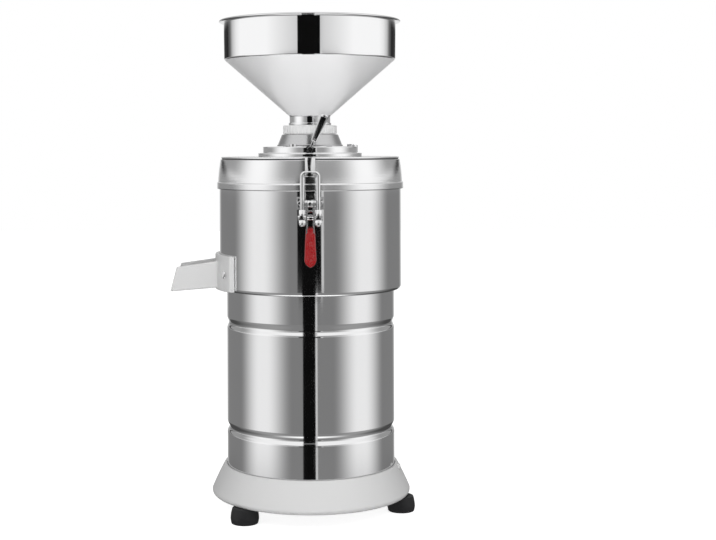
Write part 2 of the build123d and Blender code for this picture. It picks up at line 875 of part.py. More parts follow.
def stator_core():
    """Laminated iron core between the bells."""
    core = turned((core_bore_r, core_z), (bell_r, core_z), (bell_r, core_top_z), (core_bore_r, core_top_z))
    hole_r = tie_bolt_r + turn_gap
    return core - [upright(hole_r, core_z - 1, core_top_z + 1, place) for place in tie_bolt_places()]


def stator_windings():
    """Copper coil heads above and below the core."""
    inner_r = core_bore_r + 4
    middle_r = (inner_r + winding_outer_r) / 2
    heads = []
    for face_z, way in ((core_top_z, 1), (core_z, -1)):
        tip_z = face_z + way * winding_height
        heads.append(turned(
            (inner_r, face_z),
            (winding_outer_r, face_z),
            (winding_outer_r, tip_z - way * 4),
            Via(middle_r, tip_z),
            (inner_r, tip_z - way * 4),
        ))
    return heads


def motor_bearings():
    """Ball bearing in each bell, drawn whole with its running bore."""
    top_z = motor_top_z - bell_wall
    low_z = bell_low_z + bell_wall
    return [bearing(top_z - bearing_height), bearing(low_z)]


def bearing(low_z):
    """Ring with a groove in each face between its races."""
    bore_r = shaft_r + turn_gap / 2
    top_z = low_z + bearing_height
    middle_r = (bore_r + bearing_r) / 2
    ring = turned((bore_r, low_z), (bearing_r, low_z), (bearing_r, top_z), (bore_r, top_z))
    low_r, high_r = middle_r - 2, middle_r + 2
    groove = turned((low_r, top_z - 1), (high_r, top_z - 1), (high_r, top_z), (low_r, top_z))
    return ring - groove - Pos(0, 0, 1 - bearing_height) * groove


def shaft_seal():
    """Rubber lip seal round the shaft, in the chamber's hub."""
    low_z = pot_floor_z + pot_hub_rise - seal_height
    top_z = low_z + seal_height
    bore_r = shaft_r + turn_gap
    return turned(
        (bore_r, low_z),
        (seal_r, low_z),
        (seal_r, top_z),
        (seal_r - 3, top_z),
        (bore_r + 3, top_z - 2.5),
        (bore_r, top_z),
    )


def motor_tie_bolts():
    """Long bolts that clamp the motor together and hang it from the chamber's floor."""
    bolts = []
    for place in tie_bolt_places():
        bolt = upright(tie_bolt_r, bell_low_z, deck_top_z + tie_bolt_grip, place)
        head_z = bell_low_z - tie_bolt_head_height
        bolts.append(bolt + hexagon(tie_bolt_head_r, (*place, head_z), (*place, bell_low_z)))
    return bolts


def motor_rotor():
    """Squirrel-cage rotor with end rings."""
    radius = core_bore_r - air_gap
    ring = 6.0
    return turned(
        (shaft_r, core_z - ring),
        (radius - 6, core_z - ring),
        (radius - 6, core_z),
        (radius, core_z),
        (radius, core_top_z),
        (radius - 6, core_top_z),
        (radius - 6, core_top_z + ring),
        (shaft_r, core_top_z + ring),
    )


def cooling_fan():
    """Fan on the shaft's tail, with tilted blades round a hub."""
    low_z = shaft_tail_z + 3
    fan = upright(shaft_r + 5, low_z, low_z + fan_height)
    blade = block((shaft_r + 3, fan_r), (-1, 1), (-fan_height / 2 + 1, fan_height / 2 - 1))
    for number in range(fan_blades):
        turn = Rot(0, 0, 360 * number / fan_blades)
        fan += turn * Pos(0, 0, low_z + fan_height / 2) * Rot(25, 0, 0) * blade
    return fan - upright(shaft_r, low_z - 1, low_z + fan_height + 1)


def capacitor_axis():
    """Place of the capacitor, beside the motor on the right."""
    return (bell_r + capacitor_motor_gap + capacitor_r, 0.0)


def run_capacitor():
    """Capacitor can with two blade terminals on top."""
    place = capacitor_axis()
    low_z = core_z + 4
    top_z = low_z + capacitor_height
    can = upright(capacitor_r, low_z, top_z, place)
    for side in (-1, 1):
        x = place[0] + side * 5
        can += block((x - 3, x + 3), (-0.5, 0.5), (top_z, top_z + 8))
    return can


def capacitor_clip():
    """Sprung band that holds the capacitor to the motor's core."""
    x, y = capacitor_axis()
    middle_z = core_z + 4 + capacitor_height / 2
    low_z, top_z = middle_z - 7, middle_z + 7
    clip = upright(capacitor_r + 1.5, low_z, top_z, (x, y))
    clip += block((bell_r, x - capacitor_r + 1), (-8, 8), (low_z, top_z))
    return clip - upright(capacitor_r, low_z - 1, top_z + 1, (x, y))


def spout():
    """Open trough cast in one piece with the curved saddle that hugs the barrel."""
    root_x = -(outer_barrel_r - 6)
    root_z = deck_z + spout_root_floor
    lip_z = root_z - spout_fall
    top_z = root_z + spout_root_height
    side = [
        (root_x, root_z),
        (-spout_reach_bottom, lip_z),
        (-spout_reach_top, top_z - spout_top_fall),
        (root_x, top_z),
    ]
    half = spout_half_width
    trough = extrude(Plane.XZ.offset(-half) * make_face(outline(*side)), 2 * half)
    reach = spout_reach_bottom + 10
    fall = spout_fall * (reach + root_x) / (spout_reach_bottom + root_x)
    hollow = [
        (root_x, root_z + spout_wall),
        (-reach, root_z + spout_wall - fall),
        (-reach, top_z + 20),
        (root_x, top_z + 20),
    ]
    inside = half - spout_wall
    trough -= extrude(Plane.XZ.offset(-inside) * make_face(outline(*hollow)), 2 * inside)
    outer_r = outer_barrel_r + saddle_thickness
    low_z = deck_z + saddle_lift
    saddle = upright(outer_r, low_z, low_z + saddle_height)
    y_range = (-saddle_half_width, saddle_half_width)
    saddle &= block((-outer_r - 1, 0), y_range, (low_z, low_z + saddle_height))
    body = trough + saddle
    body -= upright(outer_barrel_r, deck_z - 10, low_z + saddle_height + 1)
    body -= port_window(outer_r + 1)
    bore_r = spout_screw_r + turn_gap
    return body - [rod(bore_r, start, end + (end - start)) for start, end in spout_screw_lines()]


def spout_screws():
    """Two domed screws through the saddle's ears into the barrel."""
    screws = []
    for start, end in spout_screw_lines():
        out = (end - start).normalized()
        screw = rod(spout_screw_r, start, end)
        head = rod(spout_screw_head_r, end, end + out * spout_screw_head_height)
        rim = head.edges().filter_by(GeomType.CIRCLE).sort_by(lambda edge: (edge.center() - start).length)[-1]
        screws.append(screw + fillet(rim, spout_screw_head_height * 0.6))
    return screws


def link(start, start_r, end, end_r):
    """Flat bar with round ends between two points of the YZ plane, as a sketch there."""
    along = (Vector(*end) - Vector(*start)).normalized()
    across = Vector(-along.Y, along.X)
    corners = [
        Vector(*start) + across * start_r,
        Vector(*end) + across * end_r,
        Vector(*end) - across * end_r,
        Vector(*start) - across * start_r,
    ]
    middle = make_face(outline(*[(corner.X, corner.Y) for corner in corners]))
    return Pos(*start) * Circle(start_r) + Pos(*end) * Circle(end_r) + middle


def across_x(sketch, x_low, x_top):
    """Slab of a YZ sketch between two X values."""
    return extrude(Plane.YZ.offset(x_low) * sketch, x_top - x_low)


def cross_pin(radius, x_reach, y, z):
    """Bar along X, centred on the latch's middle."""
    return rod(radius, (-x_reach, y, z), (x_reach, y, z))


def catch():
    """Catch plate on the lid's side, curled up at its foot into the lip that the bail sits in."""
    drift = (lid_side_low_r - lid_side_top_r) / (lid_height - lid_rim_height - lid_crease_drop)

    def lean(z):
        return -(lid_side_low_r + 0.15 - drift * (z - lid_bottom_z - lid_rim_height))

    lip_y = bail_bar_y - bail_rod_r - free_gap
    floor_z = bail_bar_z - bail_rod_r - 0.2
    low_z = floor_z - catch_plate
    top_z = lid_top_z
    shape = outline(
        (lean(top_z), top_z),
        (lean(low_z + 1), low_z + 1),
        (lean(low_z) - 1.0, low_z),
        (lip_y - catch_plate + 1.2, low_z),
        Via(lip_y - catch_plate + 0.35, low_z + 0.35),
        (lip_y - catch_plate, low_z + 1.2),
        (lip_y - catch_plate, bail_bar_z + 1.5),
        (lip_y, bail_bar_z + 1.5),
        (lip_y, floor_z),
        (lean(floor_z) - catch_plate, floor_z),
        (lean(top_z) - catch_plate, top_z),
    )
    return across_x(make_face(shape), -catch_width / 2, catch_width / 2)


def latch_base():
    """Curved foot on the barrel with two ears for the pivot pin."""
    low_z = latch_pin_z - 12
    foot_r = outer_barrel_r + catch_plate
    plan = block((-7, 7), (-foot_r - 1, 0), (low_z, latch_pin_z + 12))
    x_range = (-latch_foot_half_width, latch_foot_half_width)
    plan += block(x_range, (-foot_r - 1, 0), (low_z + 4, latch_pin_z + 8))
    base = upright(foot_r, low_z, latch_pin_z + 12) & plan
    ear = Pos(latch_pin_y, latch_pin_z) * Circle(bush_r)
    depth = -outer_barrel_r - latch_pin_y
    ear += Pos(latch_pin_y + depth / 2, latch_pin_z) * Rectangle(depth, 2 * bush_r)
    ear_x = lever_half_gap + lever_plate + free_gap
    base += across_x(ear, ear_x, ear_x + ear_plate)
    base += across_x(ear, -ear_x - ear_plate, -ear_x)
    base -= upright(outer_barrel_r, low_z - 1, latch_pin_z + 20)
    base -= cross_pin(pin_r, 20, latch_pin_y, latch_pin_z)
    for start, end in latch_rivet_lines():
        base -= rod(rivet_r / 2, start, end)
    return base


def latch_rivet_lines():
    """Radial lines of a latch's two rivets, one on each wing of its foot."""
    lines = []
    foot_r = outer_barrel_r + catch_plate
    spread = degrees(atan2(latch_foot_half_width - 3.5, outer_barrel_r))
    for azimuth in (-spread, spread):
        lines.append((around(outer_barrel_r, azimuth, latch_pin_z), around(foot_r, azimuth, latch_pin_z)))
    return lines


def latch_rivets():
    """Domed rivets of one latch."""
    rivets = []
    for start, end in latch_rivet_lines():
        out = (end - start).normalized()
        head = rod(rivet_r, end, end + out * rivet_head)
        rim = head.edges().filter_by(GeomType.CIRCLE).sort_by(Axis.Y)[0]
        rivets.append(rod(rivet_r / 2, start, end) + fillet(rim, rivet_head * 0.7))
    return rivets


def latch_pin():
    """Pivot pin, thick between the lever's plates."""
    ear_x = lever_half_gap + lever_plate + free_gap + ear_plate
    pin = cross_pin(pin_r, ear_x, latch_pin_y, latch_pin_z)
    return pin + cross_pin(bush_r, lever_half_gap - free_gap, latch_pin_y, latch_pin_z)


def grip_heights():
    """Top and bottom of the grip."""
    top_z = latch_pin_z - grip_top_drop
    return top_z, top_z - grip_length


def latch_lever():
    """Two side plates on the pin, joined inside the grip by a bent web."""
    grip_top, grip_low = grip_heights()
    pin = (latch_pin_y, latch_pin_z)
    cross = (trunnion_y, trunnion_z)
    knee = (latch_pin_y + 2.5, grip_top - 8)
    tail = (latch_pin_y + 3.0, grip_low + 9)
    shape = link(pin, 5.0, cross, 4.3) + link(cross, 4.3, knee, 3.2) + link(knee, 3.2, tail, 3.0)
    outer_x = lever_half_gap + lever_plate
    lever = across_x(shape, lever_half_gap, outer_x) + across_x(shape, -outer_x, -lever_half_gap)
    web_z = (grip_low + 8, grip_top - 6)
    web_y = tail[0] + 1.5
    lever += block((-outer_x, outer_x), (web_y, web_y + lever_plate), web_z)
    lever -= cross_pin(pin_r + turn_gap, 20, *pin)
    return lever - cross_pin(trunnion_pin_r() + turn_gap, 20, *cross)


def trunnion_pin_r():
    """Radius of the trunnion's round middle."""
    return trunnion_block[2] / 2


def latch_grip():
    """Vinyl grip dipped over the lever's tail, wider towards its rounded end."""
    top_z, low_z = grip_heights()
    top_half, low_half = grip_top_width / 2, grip_low_width / 2
    shape = outline(
        (-top_half + 1.5, top_z),
        (top_half - 1.5, top_z),
        (top_half, top_z - 1.5),
        (low_half, low_z + low_half + 2),
        Via(low_half * 0.72, low_z + low_half * 0.42),
        (0.0, low_z),
        Via(-low_half * 0.72, low_z + low_half * 0.42),
        (-low_half, low_z + low_half + 2),
        (-top_half, top_z - 1.5),
    )
    back_y = latch_pin_y + 3.0 + grip_depth / 2
    grip = extrude(Plane.XZ.offset(-back_y) * make_face(shape), grip_depth)
    sides = grip.edges().filter_by(lambda edge: abs(edge.tangent_at(0.5).Y) < 0.01)
    grip = fillet(sides, 2.6)
    return grip - latch_lever()


def bail_frame():
    """Plane that the bail lies in: X as the machine's, Y from the trunnion up to the bail's bar."""
    rise = Vector(0, bail_bar_y - trunnion_y, bail_bar_z - trunnion_z)
    frame = Plane((0, trunnion_y, trunnion_z), x_dir=(1, 0, 0), z_dir=Vector(1, 0, 0).cross(rise))
    return frame, rise.length


def latch_bail():
    """U-shaped rod with round shoulders."""
    frame, length = bail_frame()
    corners = [
        frame.from_local_coords(Vector(x, y, 0))
        for x, y in (
            (-bail_half_width, -8.0),
            (-bail_half_width, length),
            (bail_half_width, length),
            (bail_half_width, -8.0),
        )
    ]
    line = FilletPolyline(*corners, radius=bail_corner_r)
    return sweep(Plane(line @ 0, z_dir=line % 0) * Circle(bail_rod_r), path=line)


def latch_trunnion():
    """Cross bar that turns in the lever and holds both legs of the bail."""
    frame, _ = bail_frame()
    length, depth, height = trunnion_block
    inner_x = lever_half_gap + lever_plate + free_gap
    bar = cross_pin(trunnion_pin_r(), inner_x + 1, trunnion_y, trunnion_z)
    for side in (-1, 1):
        wing = Pos(side * (inner_x + length / 2), 0, 0) * Box(length, height, depth)
        bar += frame * wing
        low = frame.from_local_coords(Vector(side * bail_half_width, -height, 0))
        top = frame.from_local_coords(Vector(side * bail_half_width, height, 0))
        bar -= rod(bail_rod_r, low, top)
    return bar


def latch_nuts():
    """A washer and nut above the trunnion and a domed nut below it, on each leg."""
    frame, _ = bail_frame()
    half = trunnion_block[2] / 2
    nuts = []
    for side in (-1, 1):
        def on_leg(height):
            return frame.from_local_coords(Vector(side * bail_half_width, height, 0))

        leg = rod(bail_rod_r, on_leg(-8.0), on_leg(20.0))
        upper = rod(4.2, on_leg(half), on_leg(half + 2.5))
        upper += hexagon(4.6, on_leg(half + 2.5), on_leg(half + 7.5))
        lower = hexagon(4.6, on_leg(-half), on_leg(-half - 4.0))
        dome = rod(3.9, on_leg(-half - 4.0), on_leg(-half - 8.0))
        tip = dome.edges().filter_by(GeomType.CIRCLE).sort_by(Axis.Z)[0]
        nuts += [upper - leg, lower + fillet(tip, 2.8) - leg]
    return nuts


def lever_stud():
    """Stud in the flange's notch that the lock lever turns on."""
    root_y = 6 - notch_inner_r
    head_y = lever_pivot_y - lever_depth / 2 - free_gap
    stud = rod(lever_pin_r, (0, root_y, lever_pivot_z), (0, head_y, lever_pivot_z))
    return stud + rod(lever_pin_r + 1.2, (0, head_y, lever_pivot_z), (0, head_y - 2, lever_pivot_z))


def on_lever(shape, distance):
    """Shape placed on the lever's axis, a distance from its pivot."""
    return Pos(0, lever_pivot_y, lever_pivot_z) * Rot(0, lever_lean, 0) * Pos(0, 0, distance) * shape


def lock_lever():
    """Round tapered handle on a flat neck that turns on the stud."""
    front = (0, lever_pivot_y - lever_depth / 2, lever_pivot_z)
    back = (0, lever_pivot_y + lever_depth / 2, lever_pivot_z)
    length = lever_length - lever_cap_length - lever_neck_length
    arm = rod(lever_hub_r, front, back)
    arm += on_lever(Box(lever_neck_width, lever_depth, lever_neck_length + 2), lever_neck_length / 2 + 1)
    arm += on_lever(Cone(lever_low_r, lever_top_r, length), lever_neck_length + length / 2)
    return arm - rod(lever_pin_r + turn_gap, front, back)


def lever_tip():
    """Bright rounded cap on the lock lever's end."""
    cap = on_lever(Cylinder(lever_top_r + 0.6, lever_cap_length), lever_length - lever_cap_length / 2)
    rim = cap.edges().filter_by(GeomType.CIRCLE).sort_by(Axis.Z)[-1]
    return fillet(rim, 2.8)


def switch_bezel():
    """Frame of the rocker switch and its body, through the barrel's window."""
    x_half, z_half = bezel_size[0] / 2, bezel_size[1] / 2
    front_y = motor_barrel_r + 2.2
    rim = block((-x_half, x_half), (front_y - 4, front_y), (switch_height - z_half, switch_height + z_half))
    rim -= upright(motor_barrel_r, switch_height - 20, switch_height + 20)
    body_x, body_z = switch_body[0] / 2, switch_body[1] / 2
    back_y = motor_barrel_r - switch_depth
    rim += block((-body_x, body_x), (back_y, front_y), (switch_height - body_z, switch_height + body_z))
    x_pocket = rocker_size[0] / 2 + free_gap
    z_pocket = rocker_size[1] / 2 + free_gap
    z_range = (switch_height - z_pocket, switch_height + z_pocket)
    return rim - block((-x_pocket, x_pocket), (front_y - 7, front_y + 1), z_range)


def switch_rocker():
    """Rocker with a shallow V front, tipped to its off side."""
    half = rocker_size[1] / 2 - 0.6
    pivot_y = motor_barrel_r - 1.0
    shape = outline(
        (-1.5, -half * 0.7),
        (3.9, -half),
        (2.6, 0.0),
        (3.9, half),
        (-1.5, half * 0.7),
    )
    rocker = across_x(make_face(shape), -rocker_size[0] / 2, rocker_size[0] / 2)
    return Pos(0, pivot_y, switch_height) * Rot(-7, 0, 0) * rocker


def cable_gland():
    """Cable gland with its hexagon and dome outside, and its lock nut inside."""
    y = motor_barrel_r

    def at(distance):
        return (0, y + distance, gland_height)

    gland = hexagon(gland_hex_r, at(-2), at(5))
    gland -= upright(motor_barrel_r, gland_height - 20, gland_height + 20)
    dome = rod(gland_hex_r - 2, at(5), at(gland_out))
    rim = dome.edges().filter_by(GeomType.CIRCLE).sort_by(Axis.Y)[-1]
    gland += fillet(rim, 3)
    gland += rod(gland_thread_r, at(-10), at(5))
    bore = rod(gland_bore_r, at(-11), at(gland_out + 1))
    nut = hexagon(gland_hex_r + 0.5, at(-sheet - 5), at(-sheet - 1)) - rod(gland_thread_r, at(-12), at(0))
    return [gland - bore, nut]


os.makedirs("parts", exist_ok=True)
save("base_ring", base_ring())
for name, azimuth in foot_azimuths.items():
    save(f"foot_{name}", foot(azimuth))
save("foot_screws", *foot_screws())
save("bottom_plate", bottom_plate())
save("bottom_plate_screws", *bottom_plate_screws())
save("motor_barrel", motor_barrel())
save("outer_barrel", outer_barrel())
save("chamber_pot", chamber_pot())
save("pot_bolts", *pot_bolts())
save("shaft_seal", shaft_seal())
save("motor_upper_bell", motor_bell(motor_top_z, core_top_z))
save("motor_lower_bell", motor_bell(bell_low_z, core_z))
save("stator_core", stator_core())
save("stator_windings", *stator_windings())
save("motor_bearings", *motor_bearings())
save("motor_tie_bolts", *motor_tie_bolts())
save("run_capacitor", run_capacitor())
save("capacitor_clip", capacitor_clip())
save("lid", lid())
save("lid_gasket", lid_gasket())
save("neck_flange", neck_flange())
save("neck_flange_screws", *neck_flange_screws())
save("lever_stud", lever_stud())
save("lock_lever", lock_lever())
save("lever_tip", lever_tip())
save("adjusting_hub", adjusting_hub())
save("knurled_ring", knurled_ring())
save("hopper", hopper())
save("stator_sleeve", stator_sleeve())
save("stator_burr", stator_burr())
save("rotor_burr", rotor_burr())
save("feed_screw", feed_screw())
save("motor_shaft", motor_shaft())
save("motor_rotor", motor_rotor())
save("cooling_fan", cooling_fan())
save("scraper_paddle", scraper_paddle())
save("spout", spout())
save("spout_screws", *spout_screws())
save("switch_bezel", switch_bezel())
save("switch_rocker", switch_rocker())
save("cable_gland", *cable_gland())
latch_pieces = {
    "catch": [catch()],
    "latch_base": [latch_base()],
    "latch_pin": [latch_pin()],
    "latch_lever": [latch_lever()],
    "latch_grip": [latch_grip()],
    "latch_bail": [latch_bail()],
    "latch_trunnion": [latch_trunnion()],
    "latch_nuts": latch_nuts(),
}
for side, turn in latch_turns.items():
    for name, pieces in latch_pieces.items():
        save(f"{name}_{side}", *[Rot(0, 0, turn) * piece for piece in pieces])
save("latch_rivets", *[Rot(0, 0, turn) * rivet for turn in latch_turns.values() for rivet in latch_rivets()])
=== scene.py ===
"""Looks of the peanut butter machine: finishes, smooth shells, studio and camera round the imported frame.

Everything is in metres in the frame's own axes: +Z up, the front towards -Y and the spout towards -X.
"""
from __future__ import annotations

import json
import logging
import math
from dataclasses import dataclass
from enum import Enum
from typing import Sequence

import bmesh
import bpy
from mathutils import Matrix, Vector

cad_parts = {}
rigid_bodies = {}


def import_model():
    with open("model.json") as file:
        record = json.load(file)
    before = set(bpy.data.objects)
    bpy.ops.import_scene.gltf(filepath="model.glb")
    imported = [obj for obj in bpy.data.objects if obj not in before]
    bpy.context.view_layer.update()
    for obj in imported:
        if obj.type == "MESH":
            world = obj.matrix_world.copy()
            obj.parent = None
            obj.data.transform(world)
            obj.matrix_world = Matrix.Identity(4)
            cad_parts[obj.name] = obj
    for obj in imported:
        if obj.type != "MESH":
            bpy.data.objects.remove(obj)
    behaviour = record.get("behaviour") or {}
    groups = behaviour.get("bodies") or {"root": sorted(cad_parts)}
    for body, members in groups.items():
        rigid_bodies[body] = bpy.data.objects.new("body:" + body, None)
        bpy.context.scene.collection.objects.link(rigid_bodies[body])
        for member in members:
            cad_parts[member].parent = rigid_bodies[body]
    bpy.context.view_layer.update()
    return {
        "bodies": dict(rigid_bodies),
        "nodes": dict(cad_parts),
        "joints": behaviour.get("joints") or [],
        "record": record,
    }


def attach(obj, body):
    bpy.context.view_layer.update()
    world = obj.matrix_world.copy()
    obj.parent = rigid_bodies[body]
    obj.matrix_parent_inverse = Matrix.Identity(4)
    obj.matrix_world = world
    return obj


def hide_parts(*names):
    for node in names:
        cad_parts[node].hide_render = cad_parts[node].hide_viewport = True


log = logging.getLogger("peanut_butter_machine")

MM = 0.001

# Angles in degrees.
SHARP_ANGLE = 40.0
EDGE_ANGLE = 32.0
SOFT_ANGLE = 50.0
FLAT_ANGLE = 0.6
STRAIGHT_HALF = 89.0

# Points closer than these, in metres, are one.
CAD_MERGE = 2e-6
OWN_MERGE = 1e-7

# The radius in mm that counts as the axis, and the share of a side that one fillet may take.
ON_AXIS = 1e-6
FILLET_SHARE = 0.45

# Facets round the large turned pieces and round the others.
FINE = 288
MEDIUM = 224

# Detail and roughness of each noise, and the film's part that shows.
FILM_NOISE = (3.0, 0.5)
LINE_NOISE = (4.0, 0.65)
GRAIN_NOISE = (3.0, 0.6)
FILM_RANGE = (0.3, 0.7)
LEAST_ROUGHNESS = 0.02
COAT_ROUGHNESS = 0.06

Point2 = tuple[float, float]
Corner = tuple[float, float, float]
Colour = tuple[float, float, float]
Ramp = tuple[float, float, float, float]
Socket = bpy.types.NodeSocket
Piece = bpy.types.Object


class Coordinate(Enum):
    """How a texture is laid on a finish."""

    OBJECT = "along the object's own axes"
    TURNED = "round the upright axis, as a lathe leaves it"


def placed(name: str, data: bpy.types.ID) -> Piece:
    """Put an object that holds a mesh, a lamp or a camera into the scene."""
    made = bpy.data.objects.new(name, data)
    bpy.context.collection.objects.link(made)
    return made


class Graph:
    """Wires the nodes of one material or of the world."""

    def __init__(self, tree: bpy.types.NodeTree) -> None:
        """Keep the tree that the nodes go into."""
        self.tree = tree

    def node(self, kind: str, inputs: dict | None = None, **settings: object) -> bpy.types.Node:
        """Add a node.

        Args:
            kind: the node's bl_idname.
            inputs: sockets or plain values, by the name or number of the input that takes them.
            settings: attributes to set on it.

        Returns:
            The new node.
        """
        made = self.tree.nodes.new(kind)
        for name, value in settings.items():
            setattr(made, name, value)
        for key, value in (inputs or {}).items():
            self.feed(made.inputs[key], value)
        return made

    def feed(self, socket: Socket, value: object) -> None:
        """Link a socket into another, or set a plain value on it."""
        if isinstance(value, Socket):
            self.tree.links.new(value, socket)
        else:
            socket.default_value = value

    def math(self, operation: str, *values: object, clamp: bool = False) -> Socket:
        """Combine numbers.

        Args:
            operation: a Math node operation.
            values: sockets or numbers.
            clamp: keep the result between 0 and 1.

        Returns:
            The result's socket.
        """
        inputs = dict(enumerate(values))
        return self.node("ShaderNodeMath", inputs, operation=operation, use_clamp=clamp).outputs[0]

    def spread(self, value: object, low: float, high: float, new_low: float, new_high: float) -> Socket:
        """Map a number smoothly from one range onto another, held at its ends."""
        inputs = dict(enumerate((value, low, high, new_low, new_high)))
        return self.node("ShaderNodeMapRange", inputs, interpolation_type="SMOOTHSTEP").outputs[0]

    def mix(self, factor: object, first: object, second: object, colours: bool = False) -> Socket:
        """Mix two numbers, or two colours."""
        kind, start, result = ("RGBA", 6, 2) if colours else ("FLOAT", 2, 0)
        inputs = {0: factor, start: first, start + 1: second}
        return self.node("ShaderNodeMix", inputs, data_type=kind).outputs[result]

    def place(self, coordinate: Coordinate, scale: Sequence[float]) -> Socket:
        """Give texture coordinates.

        Args:
            coordinate: how the texture lies on the piece.
            scale: repeats per metre along each axis; TURNED reads them as radius, angle and height.

        Returns:
            A vector socket.
        """
        source = self.node("ShaderNodeTexCoord").outputs["Object"]
        if coordinate is Coordinate.TURNED:
            parts = self.node("ShaderNodeSeparateXYZ", {0: source})
            radius = self.math("SQRT", self.math("ADD", self.math("POWER", parts.outputs[0], 2.0),
                                                 self.math("POWER", parts.outputs[1], 2.0)))
            angle = self.math("ARCTAN2", parts.outputs[1], parts.outputs[0])
            source = self.node("ShaderNodeCombineXYZ", {0: radius, 1: angle, 2: parts.outputs[2]}).outputs[0]
        return self.node("ShaderNodeMapping", {"Vector": source, "Scale": scale}).outputs[0]

    def noise(self, where: Socket, detail: float, roughness: float) -> Socket:
        """Give a noise value from 0 to 1 at a unit scale of the coordinates."""
        inputs = {"Vector": where, "Scale": 1.0, "Detail": detail, "Roughness": roughness}
        return self.node("ShaderNodeTexNoise", inputs).outputs[0]

    def bump(self, height: Socket, distance: float, normal: Socket | None = None) -> Socket:
        """Turn a height from 0 to 1 into a normal, for a relief of that distance in metres."""
        inputs = {"Strength": 1.0, "Distance": distance, "Height": height}
        if normal is not None:
            inputs["Normal"] = normal
        return self.node("ShaderNodeBump", inputs).outputs[0]


def emptied(owner: bpy.types.World | bpy.types.Material) -> Graph:
    """Give a world's or a material's nodes, with nothing in them."""
    owner.use_nodes = True
    owner.node_tree.nodes.clear()
    return Graph(owner.node_tree)


@dataclass(frozen=True)
class Finish:
    """How a surface looks: its colour, its gloss and the marks that its making leaves.

    The lines run the way that the piece was polished or turned, the grain is that of a cast, plated
    or moulded skin, and the film is the faint uneven sheen that handling leaves. Scales are in repeats
    per metre, and the last value of lines and grain is their depth in mm.
    """

    name: str
    colour: Colour
    roughness: float
    roughness_spread: float = 0.04
    metallic: float = 1.0
    coordinate: Coordinate = Coordinate.OBJECT
    lines: tuple[float, float, float, float] = (900.0, 900.0, 40.0, 0.0)
    grain: Point2 = (0.0, 0.0)
    film_scale: float = 18.0
    tint_spread: float = 0.03
    coat: float = 0.0

    def dress(self, piece: Piece) -> None:
        """Give a piece this finish alone."""
        piece.data.materials.clear()
        piece.data.materials.append(self.material())

    def material(self) -> bpy.types.Material:
        """Build the finish's material, once.

        Returns:
            The material.
        """
        label = f"{self.name}_finish"
        ready = bpy.data.materials.get(label)
        if ready is not None:
            return ready
        made = bpy.data.materials.new(label)
        made.use_nodes = True
        graph = Graph(made.node_tree)
        surface = made.node_tree.nodes["Principled BSDF"]
        surface.inputs["Metallic"].default_value = self.metallic
        surface.inputs["Coat Weight"].default_value = self.coat
        surface.inputs["Coat Roughness"].default_value = COAT_ROUGHNESS
        film = graph.noise(graph.place(Coordinate.OBJECT, (self.film_scale,) * 3), *FILM_NOISE)
        low = max(self.roughness - self.roughness_spread, LEAST_ROUGHNESS)
        high = self.roughness + self.roughness_spread
        graph.feed(surface.inputs["Roughness"], graph.spread(film, *FILM_RANGE, low, high))
        dark = (*(channel * (1.0 - self.tint_spread) for channel in self.colour), 1.0)
        graph.feed(surface.inputs["Base Color"], graph.mix(film, dark, (*self.colour, 1.0), colours=True))
        normal = None
        *line_scale, line_depth = self.lines
        if line_depth:
            lines = graph.noise(graph.place(self.coordinate, line_scale), *LINE_NOISE)
            normal = graph.bump(lines, line_depth * MM)
        grain_scale, grain_depth = self.grain
        if grain_depth:
            grain = graph.noise(graph.place(Coordinate.OBJECT, (grain_scale,) * 3), *GRAIN_NOISE)
            normal = graph.bump(grain, grain_depth * MM, normal)
        if normal is not None:
            graph.feed(surface.inputs["Normal"], normal)
        return made


@dataclass(frozen=True)
class Lathed(Finish):
    """A metal finish whose marks run round the upright axis."""

    coordinate: Coordinate = Coordinate.TURNED


@dataclass(frozen=True)
class Moulded(Finish):
    """A finish with no metal in it, such as paint, rubber or plastic."""

    metallic: float = 0.0


MIRROR = Finish("polished_sheet", (0.93, 0.93, 0.935), 0.035, 0.012, lines=(60.0, 60.0, 4.0, 0.0006))
SPUN = Lathed("spun_cone", (0.95, 0.95, 0.955), 0.36, 0.03, metallic=0.3, lines=(60.0, 55.0, 60.0, 0.003))
BARREL = Finish("barrel_sheet", (0.88, 0.88, 0.885), 0.06, 0.015, lines=(220.0, 220.0, 6.0, 0.0008))
SATIN = Lathed("satin_lid", (0.93, 0.93, 0.935), 0.17, 0.03, lines=(2500.0, 2.0, 2500.0, 0.004))
CAST = Finish("cast_alloy", (0.54, 0.54, 0.54), 0.50, 0.05, metallic=0.08,
              grain=(1400.0, 0.02), tint_spread=0.05)
SPOUT_CAST = Finish("spout_alloy", (0.58, 0.58, 0.58), 0.42, 0.05, metallic=0.12,
                    grain=(1100.0, 0.03), tint_spread=0.06)
KNURL = Finish("knurled_alloy", (0.70, 0.70, 0.70), 0.45, 0.05, metallic=0.2, grain=(1600.0, 0.01))
TURNED = Lathed("turned_alloy", (0.92, 0.92, 0.925), 0.07, 0.02, lines=(4000.0, 1.5, 4000.0, 0.0008))
HUB = Lathed("hub_alloy", (0.58, 0.58, 0.585), 0.20, 0.03, lines=(4000.0, 1.5, 4000.0, 0.001))
PLATED = Finish("plated_steel", (0.86, 0.86, 0.865), 0.12, 0.03, grain=(500.0, 0.003), film_scale=90.0)
SATIN_SHEET = Finish("brushed_sheet", (0.78, 0.78, 0.785), 0.30, 0.05, lines=(1800.0, 20.0, 20.0, 0.004))
HARD_IRON = Lathed("ground_iron", (0.42, 0.42, 0.43), 0.34, 0.06, lines=(3000.0, 3.0, 3000.0, 0.005))
LAMINATED = Lathed("laminated_iron", (0.30, 0.30, 0.31), 0.45, 0.06, lines=(2.0, 0.5, 1500.0, 0.06))
COPPER = Lathed("enamelled_copper", (0.62, 0.28, 0.12), 0.30, 0.06, lines=(900.0, 0.5, 900.0, 0.15))
MOTOR_PAINT = Moulded("motor_paint", (0.08, 0.09, 0.10), 0.42, 0.08, grain=(900.0, 0.03))
